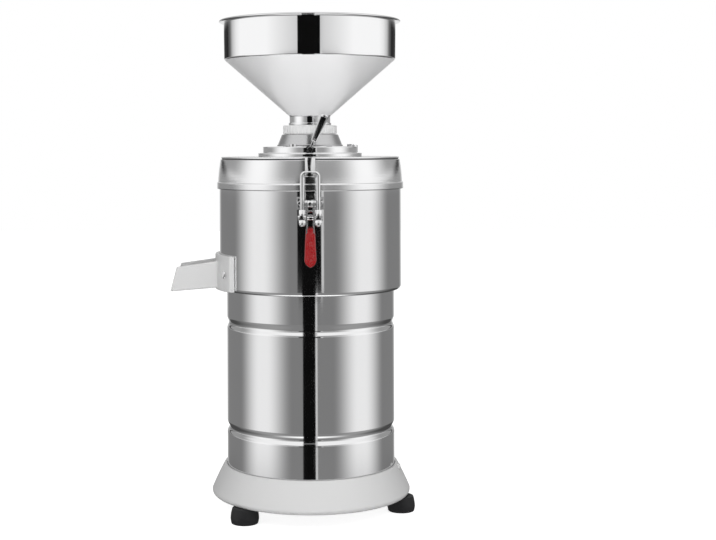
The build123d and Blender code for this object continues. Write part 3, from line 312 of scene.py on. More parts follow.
# Near-black finish that paints shade into the lid's narrow slot under its upper edge.
SLOT_SHADE = Moulded("painted_slot_shade", (0.07, 0.07, 0.072), 0.45, 0.05, grain=(900.0, 0.004))
RUBBER = Moulded("black_rubber", (0.008, 0.008, 0.009), 0.62, 0.10, grain=(1800.0, 0.03), tint_spread=0.25)
SEAL = Moulded("seal_rubber", (0.42, 0.09, 0.05), 0.50, 0.08, grain=(1500.0, 0.01))
VINYL = Moulded("red_vinyl", (0.24, 0.0008, 0.002), 0.24, 0.06, grain=(700.0, 0.012),
                film_scale=120.0, tint_spread=0.15, coat=0.2)
BLACK_PLASTIC = Moulded("moulded_black", (0.015, 0.015, 0.016), 0.42, 0.06, grain=(2200.0, 0.012),
                        tint_spread=0.2)
GLOSS_PLASTIC = Moulded("gloss_black", (0.012, 0.012, 0.013), 0.16, 0.03, grain=(600.0, 0.003))
WHITE_PLASTIC = Moulded("moulded_white", (0.78, 0.78, 0.76), 0.38, 0.05, grain=(1500.0, 0.01))


@dataclass(frozen=True)
class Studio:
    """White sweep, soft lamps, the room that the polished steel mirrors, and the photograph's camera.

    Azimuth 0 is the way to the camera and grows towards +X, in degrees, and heights are degrees above
    the horizon. The steel mirrors two tall soft boxes, a dark gap between them where the camera
    stands, a bright line beside the gap, a ceiling and a table. A ramp is (low, high, level at low,
    level at high), over azimuths or heights. The gap's edges are pairs: low down, and at mid height,
    where it is wider.
    """

    lens: float = 69.2
    sensor: float = 36.0
    camera_place: Corner = (0.0, -1.858, 0.484)
    shift: Point2 = (0.067, -0.173)
    roll: float = 0.2
    lamp_power: float = 11.0
    lamps: tuple[tuple[str, Corner, float, float], ...] = (
        ("key_lamp", (-1.3, -1.5, 1.7), 1.0, 1.0),
        ("fill_lamp", (1.5, -1.3, 1.3), 1.0, 0.8),
        ("low_lamp", (0.0, -2.0, 0.25), 0.8, 2.0),
    )
    lamp_aim: Corner = (0.0, 0.0, 0.3)
    soft_level: float = 0.72
    boxes: Point2 = (-68.0, 73.0)
    box_reach: Point2 = (5.0, 44.0)
    box_level: float = 0.70
    body_level: float = 0.22
    plain_level: float = 0.33
    behind: Ramp = (150.0, 176.0, 0.0, 0.6)
    table: Ramp = (95.0, 140.0, 0.24, 0.07)
    table_box_level: float = 0.10
    straight_down: Ramp = (-78.0, -56.0, 1.0, 0.0)
    down_level: float = 1.7
    ceiling: Ramp = (70.0, 140.0, 0.98, 0.60)
    band_heights: tuple[Point2, ...] = ((-16.0, -12.0), (-1.9, -1.6), (2.3, 2.7), (4.5, 5.2), (20.0, 30.0))
    gap_left: Point2 = (-10.4, -16.0)
    gap_right: Point2 = (6.2, 13.4)
    line_right: Point2 = (8.9, 16.6)
    wide_heights: tuple[Ramp, Ramp] = ((-6.24, -6.14, 0.0, 1.0), (5.4, 6.4, 1.0, 0.0))
    gap_heights: tuple[Ramp, Ramp] = ((-84.0, -80.0, 0.0, 1.0), (44.0, 54.0, 1.0, 0.0))
    gap_level: float = 0.004
    line_level: float = 0.62
    edge_sharpness: float = 1.5
    rim_stops: tuple[Point2, ...] = (
        (0.0, 0.004), (0.0775, 0.004), (0.083, 0.66), (0.33, 1.0), (0.585, 1.0), (0.64, 0.86),
        (0.695, 0.56), (0.735, 0.15), (0.79, 0.02), (0.90, 0.05), (1.0, 0.55),
    )
    floor_half: float = 6.0
    floor_level: float = 0.55
    floor_glow: float = 0.80

    def build(self) -> None:
        """Set the view transform and make the camera, the world, the lamps and the floor."""
        bpy.context.scene.view_settings.view_transform = "Standard"
        self.camera()
        self.world()
        for lamp in self.lamps:
            self.lamp(*lamp)
        self.floor()

    def camera(self) -> None:
        """Stand the level camera where the photograph was taken from."""
        lens = bpy.data.cameras.new("front_camera")
        lens.lens = self.lens
        lens.sensor_width = self.sensor
        lens.shift_x, lens.shift_y = self.shift
        stand = placed("front_camera", lens)
        stand.location = self.camera_place
        stand.rotation_euler = (math.radians(90.0), math.radians(self.roll), 0.0)
        bpy.context.scene.camera = stand

    def lamp(self, name: str, place: Corner, size: float, share: float) -> None:
        """Hang a square soft lamp that points at the machine and shows in no reflection."""
        light = bpy.data.lights.new(name, "AREA")
        light.shape = "SQUARE"
        light.size = size
        light.energy = self.lamp_power * share
        lamp = placed(name, light)
        lamp.location = place
        lamp.rotation_euler = (Vector(self.lamp_aim) - Vector(place)).to_track_quat("-Z", "Y").to_euler()
        lamp.visible_glossy = False

    def world(self) -> None:
        """Build the room as a pattern over directions."""
        world = bpy.data.worlds.new("white_room")
        bpy.context.scene.world = world
        graph = emptied(world)
        direction = graph.node("ShaderNodeTexCoord").outputs["Generated"]
        parts = graph.node("ShaderNodeSeparateXYZ", {0: direction})
        towards = graph.math("MULTIPLY", parts.outputs[1], -1.0)
        azimuth = graph.math("DEGREES", graph.math("ARCTAN2", parts.outputs[0], towards))
        height = graph.math("DEGREES", graph.math("ARCSINE", parts.outputs[2]))
        mirrored = self.room(graph, azimuth, height)
        rays = graph.node("ShaderNodeLightPath")
        shown = graph.math("MAXIMUM", rays.outputs["Is Camera Ray"], rays.outputs["Is Transmission Ray"])
        glossy = rays.outputs["Is Glossy Ray"]
        soft = graph.math("MULTIPLY", graph.math("SUBTRACT", 1.0, glossy), self.soft_level)
        level = graph.math("ADD", graph.math("MULTIPLY", glossy, mirrored), soft)
        strength = graph.math("MAXIMUM", level, shown)
        background = graph.node("ShaderNodeBackground", {"Color": (1.0, 1.0, 1.0, 1.0), "Strength": strength})
        graph.node("ShaderNodeOutputWorld", {"Surface": background.outputs[0]})

    def room(self, graph: Graph, azimuth: Socket, height: Socket) -> Socket:
        """Give the brightness that the steel mirrors from each direction.

        Args:
            graph: the world's graph.
            azimuth: degrees round from the camera.
            height: degrees above the horizon.

        Returns:
            The brightness socket.
        """
        boxes = graph.math("ADD", *(self.bell(graph, azimuth, centre) for centre in self.boxes))
        away = graph.math("ABSOLUTE", azimuth)
        behind = graph.spread(away, *self.behind)
        body, plain = (graph.math("ADD", graph.math("MULTIPLY_ADD", boxes, self.box_level, level), behind)
                       for level in (self.body_level, self.plain_level))
        table = graph.math("MULTIPLY_ADD", boxes, self.table_box_level, graph.spread(away, *self.table))
        bright = graph.mix(graph.spread(height, *self.straight_down), table, self.down_level)
        patterns = (body, plain, self.rim_band(graph, azimuth), plain, graph.spread(away, *self.ceiling))
        for (low, high), pattern in zip(self.band_heights, patterns):
            bright = graph.mix(graph.spread(height, low, high, 0.0, 1.0), bright, pattern)
        return self.gap(graph, azimuth, height, bright)

    def gap(self, graph: Graph, azimuth: Socket, height: Socket, bright: Socket) -> Socket:
        """Lay the dark gap and its bright line over the room.

        The gap narrows with height over the horizon as a turned surface does its mirror image, so that
        it stays one upright stripe where the steel bends into a groove.
        """
        wide = graph.math("MULTIPLY", *(graph.spread(height, *ramp) for ramp in self.wide_heights))
        left, right, line_right = (graph.math("MULTIPLY_ADD", wide, widest - narrow, narrow)
                                   for narrow, widest in (self.gap_left, self.gap_right, self.line_right))
        level_share = graph.math("COSINE", graph.math("RADIANS", height))
        doubled = graph.math("MULTIPLY", level_share, 2.0)
        narrowed = graph.math("DIVIDE", doubled, graph.math("ADD", level_share, 1.0))
        across = graph.math("MULTIPLY", azimuth, narrowed)
        reach = graph.math("MULTIPLY", *(graph.spread(height, *ramp) for ramp in self.gap_heights))
        for low, high, level in ((right, line_right, self.line_level), (left, right, self.gap_level)):
            share = graph.math("MULTIPLY", self.between(graph, across, low, high), reach)
            bright = graph.mix(share, bright, level)
        return bright

    def bell(self, graph: Graph, azimuth: Socket, centre: float) -> Socket:
        """Give a soft box's brightness across its width, from 0 to 1."""
        away = graph.math("ABSOLUTE", graph.math("SUBTRACT", azimuth, centre))
        return graph.spread(away, *self.box_reach, 1.0, 0.0)

    def between(self, graph: Graph, value: Socket, low: object, high: object) -> Socket:
        """Give 1 between two azimuths and 0 outside them, with edges a fraction of a degree wide."""
        inside = (graph.math("SUBTRACT", *pair) for pair in ((value, low), (high, value)))
        edges = (graph.math("MULTIPLY_ADD", side, self.edge_sharpness, 0.5, clamp=True) for side in inside)
        return graph.math("MULTIPLY", *edges)

    def rim_band(self, graph: Graph, azimuth: Socket) -> Socket:
        """Give the band that the hopper's wall mirrors: bright, dark in the camera's gap and behind."""
        ramp = graph.node("ShaderNodeValToRGB")
        colours = ramp.color_ramp
        while len(colours.elements) < len(self.rim_stops):
            colours.elements.new(1.0)
        for element, (position, level) in zip(colours.elements, self.rim_stops):
            element.position = position
            element.color = (level, level, level, 1.0)
        graph.feed(ramp.inputs[0], graph.math("DIVIDE", graph.math("ABSOLUTE", azimuth), 180.0))
        return ramp.outputs[0]

    def floor(self) -> None:
        """Lay the white floor, which shows the machine's shadow and stays out of the steel's mirror."""
        mesh = bpy.data.meshes.new("white_floor")
        half = self.floor_half
        corners = [(-half, -half, 0.0), (half, -half, 0.0), (half, half, 0.0), (-half, half, 0.0)]
        mesh.from_pydata(corners, [], [(0, 1, 2, 3)])
        floor = placed("white_floor", mesh)
        made = bpy.data.materials.new("white_floor")
        graph = emptied(made)
        diffuse = graph.node("ShaderNodeBsdfDiffuse", {"Color": (*(self.floor_level,) * 3, 1.0)})
        seen = graph.node("ShaderNodeLightPath").outputs["Is Camera Ray"]
        glow = graph.node("ShaderNodeEmission", {"Strength": graph.math("MULTIPLY", seen, self.floor_glow)})
        both = graph.node("ShaderNodeAddShader", {0: diffuse.outputs[0], 1: glow.outputs[0]})
        graph.node("ShaderNodeOutputMaterial", {"Surface": both.outputs[0]})
        mesh.materials.append(made)
        floor.visible_glossy = False


def swept(centre: Vector, spoke: Vector, turn: float, steps: int) -> list[Point2]:
    """Give the points that a spoke's end passes through on its way round a centre."""
    points = []
    for step in range(steps + 1):
        angle = -turn * step / steps
        cosine, sine = math.cos(angle), math.sin(angle)
        points.append((centre.x + spoke.x * cosine - spoke.y * sine,
                       centre.y + spoke.x * sine + spoke.y * cosine))
    return points


def rounded(corners: Sequence[Corner], steps: int = 4, closed: bool = True) -> list[Point2]:
    """Round the corners of an outline and add support points, so that flats shade flat.

    Args:
        corners: (across, up, fillet radius) in mm, in order round the outline.
        steps: chords in each rounding.
        closed: whether the last corner joins the first.

    Returns:
        The outline's points in mm.
    """
    count = len(corners)
    points: list[Point2] = []
    for index, (across, up, radius) in enumerate(corners):
        here = Vector((across, up))
        ends = not closed and index in (0, count - 1)
        before = Vector(corners[index - 1][:2]) - here
        after = Vector(corners[(index + 1) % count][:2]) - here
        half = before.angle(after) / 2 if not ends and before.length and after.length else 0.0
        if ends or radius <= 0 or half > math.radians(STRAIGHT_HALF):
            points.append((across, up))
            continue
        reach = min(radius / math.tan(half), before.length * FILLET_SHARE, after.length * FILLET_SHARE)
        radius = reach * math.tan(half)
        centre = here + (before.normalized() + after.normalized()).normalized() * (radius / math.sin(half))
        start = here + before.normalized() * reach - centre
        finish = here + after.normalized() * reach - centre
        points.extend(swept(centre, start, start.angle_signed(finish), steps))
    return supported(points, closed)


def supported(points: Sequence[Point2], closed: bool = True, margin: float = 0.6) -> list[Point2]:
    """Add a point near both ends of every long straight side, at a margin in mm."""
    dense: list[Point2] = []
    count = len(points)
    for index, point in enumerate(points):
        dense.append(point)
        if not closed and index == count - 1:
            break
        here, there = Vector(point), Vector(points[(index + 1) % count])
        side = there - here
        if side.length > 4 * margin:
            step = side.normalized() * margin
            dense.append(tuple(here + step))
            dense.append(tuple(there - step))
    return dense


def bow(start: Point2, via: Point2, end: Point2, steps: int, fillets: Point2 = (0.0, 0.0)) -> list[Corner]:
    """Give the corners of an arc through three points, sharp but for the fillets at its two ends."""
    (ax, ay), (bx, by), (cx, cy) = start, via, end
    double = 2.0 * (ax * (by - cy) + bx * (cy - ay) + cx * (ay - by))
    a2, b2, c2 = ax * ax + ay * ay, bx * bx + by * by, cx * cx + cy * cy
    centre = Vector(((a2 * (by - cy) + b2 * (cy - ay) + c2 * (ay - by)) / double,
                     (a2 * (cx - bx) + b2 * (ax - cx) + c2 * (bx - ax)) / double))
    spoke, middle, last = (Vector(point) - centre for point in (start, via, end))
    turn = spoke.angle_signed(middle) + middle.angle_signed(last)
    corners = [(*point, 0.0) for point in swept(centre, spoke, turn, steps)]
    corners[0] = (*start, fillets[0])
    corners[-1] = (*end, fillets[1])
    return corners


def shaded(mesh: bpy.types.Mesh, angle: float = SHARP_ANGLE) -> None:
    """Shade a mesh smooth, but for edges sharper than an angle in degrees."""
    mesh.shade_smooth()
    mesh.set_sharp_from_angle(angle=math.radians(angle))


def added(name: str, build: bmesh.types.BMesh, smooth_angle: float = SHARP_ANGLE) -> Piece:
    """Turn finished mesh data into an object at the origin, with faces outwards and smooth curves.

    Args:
        name: the piece's name.
        build: its mesh in metres, which is freed.
        smooth_angle: edges sharper than this stay sharp, in degrees.

    Returns:
        The piece.
    """
    bmesh.ops.remove_doubles(build, verts=build.verts, dist=OWN_MERGE)
    bmesh.ops.recalc_face_normals(build, faces=build.faces)
    mesh = bpy.data.meshes.new(name)
    build.to_mesh(mesh)
    build.free()
    shaded(mesh, smooth_angle)
    return placed(name, mesh)


def turned(name: str, points: Sequence[Point2], segments: int = MEDIUM, place: Point2 = (0.0, 0.0),
           closed: bool = True, smooth_angle: float = SHARP_ANGLE) -> Piece:
    """Turn an outline of (radius, height) points in mm about an upright axis.

    Args:
        name: the piece's name.
        points: the outline, in order round it.
        segments: facets round the axis.
        place: where the axis stands, in mm.
        closed: whether the last point joins the first.
        smooth_angle: edges sharper than this stay sharp, in degrees.

    Returns:
        The piece.
    """
    build = bmesh.new()
    angles = [2.0 * math.pi * step / segments for step in range(segments)]
    rings: list[list[bmesh.types.BMVert]] = []
    for radius, height in points:
        reach, spokes = (0.0, angles[:1]) if radius < ON_AXIS else (radius, angles)
        corners = [(place[0] + reach * math.cos(turn), place[1] + reach * math.sin(turn)) for turn in spokes]
        rings.append([build.verts.new((x * MM, y * MM, height * MM)) for x, y in corners])
    pairs = list(zip(rings, rings[1:])) + ([(rings[-1], rings[0])] if closed else [])
    for low, high in pairs:
        if len(low) == 1 and len(high) == 1:
            continue
        for step in range(segments):
            follow = (step + 1) % segments
            if len(low) == 1:
                build.faces.new((low[0], high[follow], high[step]))
            elif len(high) == 1:
                build.faces.new((low[step], low[follow], high[0]))
            else:
                build.faces.new((low[step], low[follow], high[follow], high[step]))
    return added(name, build, smooth_angle)


def stub(name: str, radius: float, heights: Point2, edges: Point2, place: Point2 = (0.0, 0.0),
         segments: int = 40) -> Piece:
    """Make a short solid pin.

    Args:
        name: the piece's name.
        radius: its radius in mm.
        heights: its two ends in mm.
        edges: the rounding of its lower and its upper edge in mm.
        place: where its axis stands, in mm.
        segments: facets round the axis.

    Returns:
        The piece.
    """
    (low, high), (low_edge, high_edge) = heights, edges
    corners = [(0.0, low, 0.0), (radius, low, low_edge), (radius, high, high_edge), (0.0, high, 0.0)]
    return turned(name, rounded(corners, closed=False), segments, place, closed=False)


def around(radius: float, azimuth: float) -> Point2:
    """Point on a circle in mm, where azimuth 0 is the front and 90 degrees is towards +X."""
    return radius * math.sin(math.radians(azimuth)), -radius * math.cos(math.radians(azimuth))


def skinned(name: str, rings: Sequence[Sequence[Corner]]) -> Piece:
    """Make a solid from a row of rings of (x, y, z) points in mm, closed at both ends."""
    build = bmesh.new()
    loops = [[build.verts.new([value * MM for value in point]) for point in ring] for ring in rings]
    for low, high in zip(loops, loops[1:]):
        for index in range(len(low)):
            build.faces.new((low[index - 1], low[index], high[index], high[index - 1]))
    build.faces.new(loops[0])
    build.faces.new(loops[-1])
    return added(name, build)


def block(name: str, low: Corner, high: Corner, bevel: float = 0.0) -> Piece:
    """Make a block between two opposite corners in mm, with edges broken by a width in mm."""
    outline = ((low[0], low[1]), (high[0], low[1]), (high[0], high[1]), (low[0], high[1]))
    piece = skinned(name, [[(x, y, z) for x, y in outline] for z in (low[2], high[2])])
    return soften(piece, bevel) if bevel else piece


def baked(piece: Piece) -> Piece:
    """Put the result of a piece's modifiers into its mesh and remove them."""
    view = bpy.context.evaluated_depsgraph_get()
    view.update()
    result = bpy.data.meshes.new_from_object(piece.evaluated_get(view), depsgraph=view)
    result.name = piece.name
    piece.modifiers.clear()
    piece.data = result
    return piece


def soften(piece: Piece, width: float) -> Piece:
    """Round a piece's sharp edges by a width in mm."""
    edge = piece.modifiers.new("edges", "BEVEL")
    edge.width = width * MM
    edge.segments = 2
    edge.limit_method = "ANGLE"
    edge.angle_limit = math.radians(EDGE_ANGLE)
    edge.harden_normals = False
    shaded(baked(piece).data, SOFT_ANGLE)
    return piece


def carve(piece: Piece, cutter: Piece) -> None:
    """Cut a piece with another one, which is removed."""
    step = piece.modifiers.new("cut", "BOOLEAN")
    step.operation = "DIFFERENCE"
    step.object = cutter
    step.solver = "EXACT"
    shaded(baked(piece).data)
    bpy.data.objects.remove(cutter)


def copied(frame: dict, node: str, name: str, bevel: float = 0.0) -> Piece:
    """Copy a CAD node as a merged mesh with clean flats and softened edges.

    Args:
        frame: the loaded frame.
        node: the CAD node.
        name: the new piece's name.
        bevel: width of the softened edges in mm, or none.

    Returns:
        The new piece.
    """
    build = bmesh.new()
    build.from_mesh(frame["nodes"][node].data)
    bmesh.ops.remove_doubles(build, verts=build.verts, dist=CAD_MERGE)
    flat = math.radians(FLAT_ANGLE)
    bmesh.ops.dissolve_limit(build, angle_limit=flat, verts=build.verts, edges=build.edges)
    piece = added(name, build, EDGE_ANGLE)
    return soften(piece, bevel) if bevel else piece


def stands_for(piece: Piece, body: str, finish: Finish, slot: str, *nodes: str) -> None:
    """Dress a piece, let it ride on its body and stand for CAD nodes.

    Args:
        piece: the new piece.
        body: the body that carries it.
        finish: its finish.
        slot: the record's material slot; not used.
        nodes: the CAD nodes that it replaces.
    """
    finish.dress(piece)
    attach(piece, body)
    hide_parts(*nodes)
    log.info("%s: %d faces on %s", piece.name, len(piece.data.polygons), body)


class RingPattern:
    """Geometry Nodes tree that repeats one piece evenly round the upright axis."""

    def __init__(self, name: str) -> None:
        """Build the tree with the inputs Piece and Count."""
        tree = bpy.data.node_groups.new(name, "GeometryNodeTree")
        self.tree = tree
        face = tree.interface
        face.new_socket("Piece", in_out="INPUT", socket_type="NodeSocketGeometry")
        self.count = face.new_socket("Count", in_out="INPUT", socket_type="NodeSocketInt")
        face.new_socket("Ring", in_out="OUTPUT", socket_type="NodeSocketGeometry")
        graph = Graph(tree)
        given = graph.node("NodeGroupInput")
        points = graph.node("GeometryNodePoints", {"Count": given.outputs["Count"]})
        step = graph.math("DIVIDE", 2.0 * math.pi, given.outputs["Count"])
        index = graph.node("GeometryNodeInputIndex").outputs[0]
        turn = graph.node("ShaderNodeCombineXYZ", {2: graph.math("MULTIPLY", index, step)})
        rotation = graph.node("FunctionNodeEulerToRotation", {0: turn.outputs[0]})
        copies = graph.node("GeometryNodeInstanceOnPoints", {
            "Points": points.outputs[0], "Instance": given.outputs["Piece"], "Rotation": rotation.outputs[0],
        })
        real = graph.node("GeometryNodeRealizeInstances", {0: copies.outputs[0]})
        graph.node("NodeGroupOutput", {0: real.outputs[0]})

    def repeat(self, piece: Piece, count: int) -> Piece:
        """Repeat a piece round the axis and turn the result into its mesh.

        Args:
            piece: one copy, standing where the first one belongs.
            count: how many copies the ring has.

        Returns:
            The piece, now holding the whole ring.
        """
        ring = piece.modifiers.new("ring", "NODES")
        ring.node_group = self.tree
        ring[self.count.identifier] = count
        return baked(piece)


def join(first: Piece, *others: Piece) -> None:
    """Put other pieces' faces into the first one's mesh and remove them."""
    build = bmesh.new()
    for piece in (first, *others):
        build.from_mesh(piece.data)
    build.to_mesh(first.data)
    build.free()
    for other in others:
        bpy.data.objects.remove(other)


@dataclass(frozen=True)
class Hopper:
    """Mirror-polished funnel: neck, cone, upright wall and rolled rim. Sizes in mm."""

    sheet: float = 1.2
    neck_r: float = 27.5
    spigot_z: float = 501.0
    band_r: float = 28.7
    band_z: Point2 = (512.0, 515.0)
    cone_z: Point2 = (524.3, 600.7)
    cone_margin: float = 1.0
    wall_r: Point2 = (115.2, 115.8)
    bead_r: float = 3.8
    bead_half_z: float = 1.9
    bead_steps: int = 26
    top_z: float = 653.68
    smooth_angle: float = 60.0

    def outline(self) -> list[Point2]:
        """Give the funnel's closed outline, from the neck up the outside and down the inside."""
        slope = (self.cone_z[1] - self.cone_z[0]) / (self.wall_r[0] - self.neck_r)
        lift = self.sheet * math.hypot(1.0, slope)
        inner_low_r, inner_neck_r = self.wall_r[0] - self.sheet, self.neck_r - self.sheet
        bead_z = self.top_z - self.bead_half_z
        bead_centre = self.wall_r[1] - self.sheet + self.bead_r
        meets = math.acos((bead_centre - self.wall_r[1]) / self.bead_r)
        bead = []
        for step in range(self.bead_steps + 1):
            angle = math.pi + meets + (math.pi * 2.0 - meets) * step / self.bead_steps
            bead.append((bead_centre + self.bead_r * math.cos(angle),
                         bead_z + self.bead_half_z * math.sin(angle), 0.0))
        corners = [
            (inner_neck_r, self.spigot_z, 0.3),
            (self.neck_r, self.spigot_z, 0.3),
            (self.neck_r, self.band_z[0], 0.3),
            (self.band_r, self.band_z[0], 0.4),
            (self.band_r, self.band_z[1], 0.4),
            (self.neck_r, self.band_z[1], 0.3),
            (self.neck_r, self.cone_z[0], 2.0),
            (self.wall_r[0], self.cone_z[1], 1.4),
            *bead,
            (inner_low_r, self.cone_z[0] + lift + (inner_low_r - self.neck_r) * slope, 3.0),
            (inner_neck_r, self.cone_z[0] + lift + (inner_neck_r - self.neck_r) * slope, 2.0),
        ]
        return rounded(corners, 5)

    def build(self) -> None:
        """Make the funnel on its own body."""
        funnel = turned("hopper_funnel", self.outline(), FINE, smooth_angle=self.smooth_angle)
        stands_for(funnel, "hopper", MIRROR, "polished_steel", "hopper")
        funnel.data.materials.append(SPUN.material())
        low, top = self.cone_z
        for face in funnel.data.polygons:
            if low + self.cone_margin < face.center.z / MM < top - self.cone_margin:
                face.material_index = 1


@dataclass(frozen=True)
class Neck:
    """Two-tier flange, adjusting hub and knurled collar between the lid and the hopper. Sizes in mm."""

    lid_top_z: float = 470.0
    bore_r: float = 30.05
    boss_r: float = 44.5
    boss_z: float = 455.0
    tiers: tuple[Point2, Point2] = ((70.0, 475.0), (63.5, 483.5))
    notch: Corner = (4.5, -66.0, -49.5)
    lug_azimuth: float = 83.0
    lug_r: float = 6.0
    lug_z: Point2 = (475.5, 485.5)
    lug_inset: float = 5.0
    hub_z: float = 484.0
    hub_top_z: float = 499.7
    hub_r: Point2 = (43.3, 37.8)
    hub_web: float = 1.0
    lip: Point2 = (44.5, 1.8)
    nipple: Point2 = (31.5, 509.0)
    neck_bore_r: float = 27.6
    collar_z: Point2 = (500.0, 512.0)
    collar_r: float = 36.2
    collar_lip: float = 2.7
    collar_fit: Point2 = (0.05, 0.2)
    rib_count: int = 40
    rib_rise: float = 0.9
    rib_section: tuple[Point2, ...] = (
        (-0.62, -1.0), (-0.45, 0.55), (-0.2, 0.95), (0.2, 0.95), (0.45, 0.55), (0.62, -1.0),
    )
    rib_ends: tuple[Point2, ...] = ((0.2, 0.25), (0.8, 0.75), (1.5, 1.0))

    def build(self, pattern: RingPattern) -> None:
        """Make the flange, the hub and the collar."""
        (low_r, step_z), (high_r, top_z) = self.tiers
        flange = turned("neck_flange_body", rounded([
            (self.bore_r, self.boss_z, 0.4), (self.boss_r, self.boss_z, 0.4),
            (self.boss_r, self.lid_top_z, 0.2), (low_r, self.lid_top_z, 0.3), (low_r, step_z, 1.5),
            (high_r, step_z, 0.6), (high_r, top_z, 1.3), (self.bore_r, top_z, 0.4),
        ]))
        half, low_y, high_y = self.notch
        carve(flange, block("notch_cutter", (-half, low_y, step_z + 0.05), (half, high_y, top_z + 2.0)))
        join(flange, stub("flange_lug", self.lug_r, self.lug_z, (0.0, 0.8),
                            around(high_r - self.lug_inset, self.lug_azimuth), 48))
        stands_for(flange, "frame", TURNED, "turned_alloy", "neck_flange")
        (lip_r, lip_height), (nipple_r, nipple_z) = self.lip, self.nipple
        web_z = self.hub_top_z - self.hub_web
        hub = turned("adjusting_hub_cone", rounded([
            (self.bore_r, self.hub_z, 0.4), (lip_r, self.hub_z, 0.5), (lip_r, self.hub_z + lip_height, 0.5),
            (self.hub_r[0], self.hub_z + lip_height, 0.3), (self.hub_r[1], self.hub_top_z, 0.8),
            (nipple_r, self.hub_top_z, 0.3), (nipple_r, nipple_z, 0.5), (self.neck_bore_r, nipple_z, 0.4),
            (self.neck_bore_r, web_z, 0.2), (self.bore_r, web_z, 0.2),
        ]))
        stands_for(hub, "adjuster", HUB, "turned_alloy", "adjusting_hub")
        self.collar(pattern)

    def collar(self, pattern: RingPattern) -> None:
        """Make the knurled collar, its ribs repeated round it."""
        low, top = self.collar_z
        core_r = self.collar_r - self.rib_rise
        wide_r, narrow_r = self.nipple[0] + self.collar_fit[0], self.neck_bore_r + self.collar_fit[1]
        lip_z = top - self.collar_lip
        collar = turned("knurled_collar", rounded([
            (wide_r, low, 0.3), (core_r, low, 1.2), (core_r, top, 1.2), (narrow_r, top, 0.3),
            (narrow_r, lip_z, 0.0), (wide_r, lip_z, 0.0),
        ]))
        width = math.pi * self.collar_r / self.rib_count
        levels = [(low + inset, scale) for inset, scale in self.rib_ends]
        levels += [(top - inset, scale) for inset, scale in reversed(self.rib_ends)]
        rings = [[(core_r + (out * self.rib_rise * scale if out > 0 else out), across * width, height)
                  for across, out in self.rib_section] for height, scale in levels]
        join(collar, pattern.repeat(skinned("collar_ribs", rings), self.rib_count))
        stands_for(collar, "neck_ring", KNURL, "cast_alloy", "knurled_ring")


@dataclass(frozen=True)
class Lid:
    """Satin domed lid with a narrow slot under its upper edge, its faces painted near-black as shade, and a
    rolled rim. Sizes in mm.
    """

    opening_r: float = 44.6
    top_z: float = 470.0
    low_z: float = 427.0
    rim_r: float = 125.3
    rim_bore_r: float = 122.5
    rim_height: float = 9.5
    side_r: Point2 = (123.9, 120.6)
    side_swell: float = 0.5
    seam_z: Point2 = (466.3, 467.9)
    seam_depth: float = 1.8
    edge_r: float = 119.9
    wall: float = 3.0
    barrel_top_z: float = 436.0
    rib_r: Point2 = (95.0, 102.0)
    rib_z: float = 448.5

    def build(self) -> None:
        """Make the lid."""
        under_z, inner_r = self.top_z - self.wall, self.side_r[1] - self.wall
        rim_top_z = self.low_z + self.rim_height
        seam_low, seam_high = self.seam_z
        seam_r = self.side_r[1] - self.seam_depth
        swell = ((self.side_r[0] + self.side_r[1]) / 2.0 + self.side_swell, (rim_top_z + seam_low) / 2.0)
        side = bow((self.side_r[0], rim_top_z), swell, (self.side_r[1], seam_low), 8, (0.8, 0.5))
        lid = turned("lid_cover", rounded([
            (self.opening_r, self.top_z, 0.4), (self.opening_r, under_z, 0.4), (self.rib_r[0], under_z, 0.5),
            (self.rib_r[0], self.rib_z, 0.5), (self.rib_r[1], self.rib_z, 0.5), (self.rib_r[1], under_z, 0.5),
            (inner_r, under_z, 3.5), (inner_r, self.barrel_top_z, 0.4),
            (self.rim_bore_r, self.barrel_top_z, 0.3), (self.rim_bore_r, self.low_z, 0.5),
            (self.rim_r, self.low_z, 1.8), (self.rim_r, rim_top_z - 1.0, 2.6), *side,
            (seam_r, seam_low, 0.1), (seam_r, seam_high, 0.1), (self.edge_r, seam_high, 0.3),
            (self.edge_r - 0.8, self.top_z, 1.2),
        ]), FINE)
        stands_for(lid, "frame", SATIN, "satin_steel", "lid")
        # The slot's faces get a near-black finish: painted shade, darker than the slot's depth alone makes
        # it.
        lid.data.materials.append(SLOT_SHADE.material())
        for face in lid.data.polygons:
            in_painted_shade = seam_low - 0.01 < face.center.z / MM < seam_high + 0.01
            if in_painted_shade and face.center.xy.length / MM > seam_r - 1.0:
                face.material_index = 1


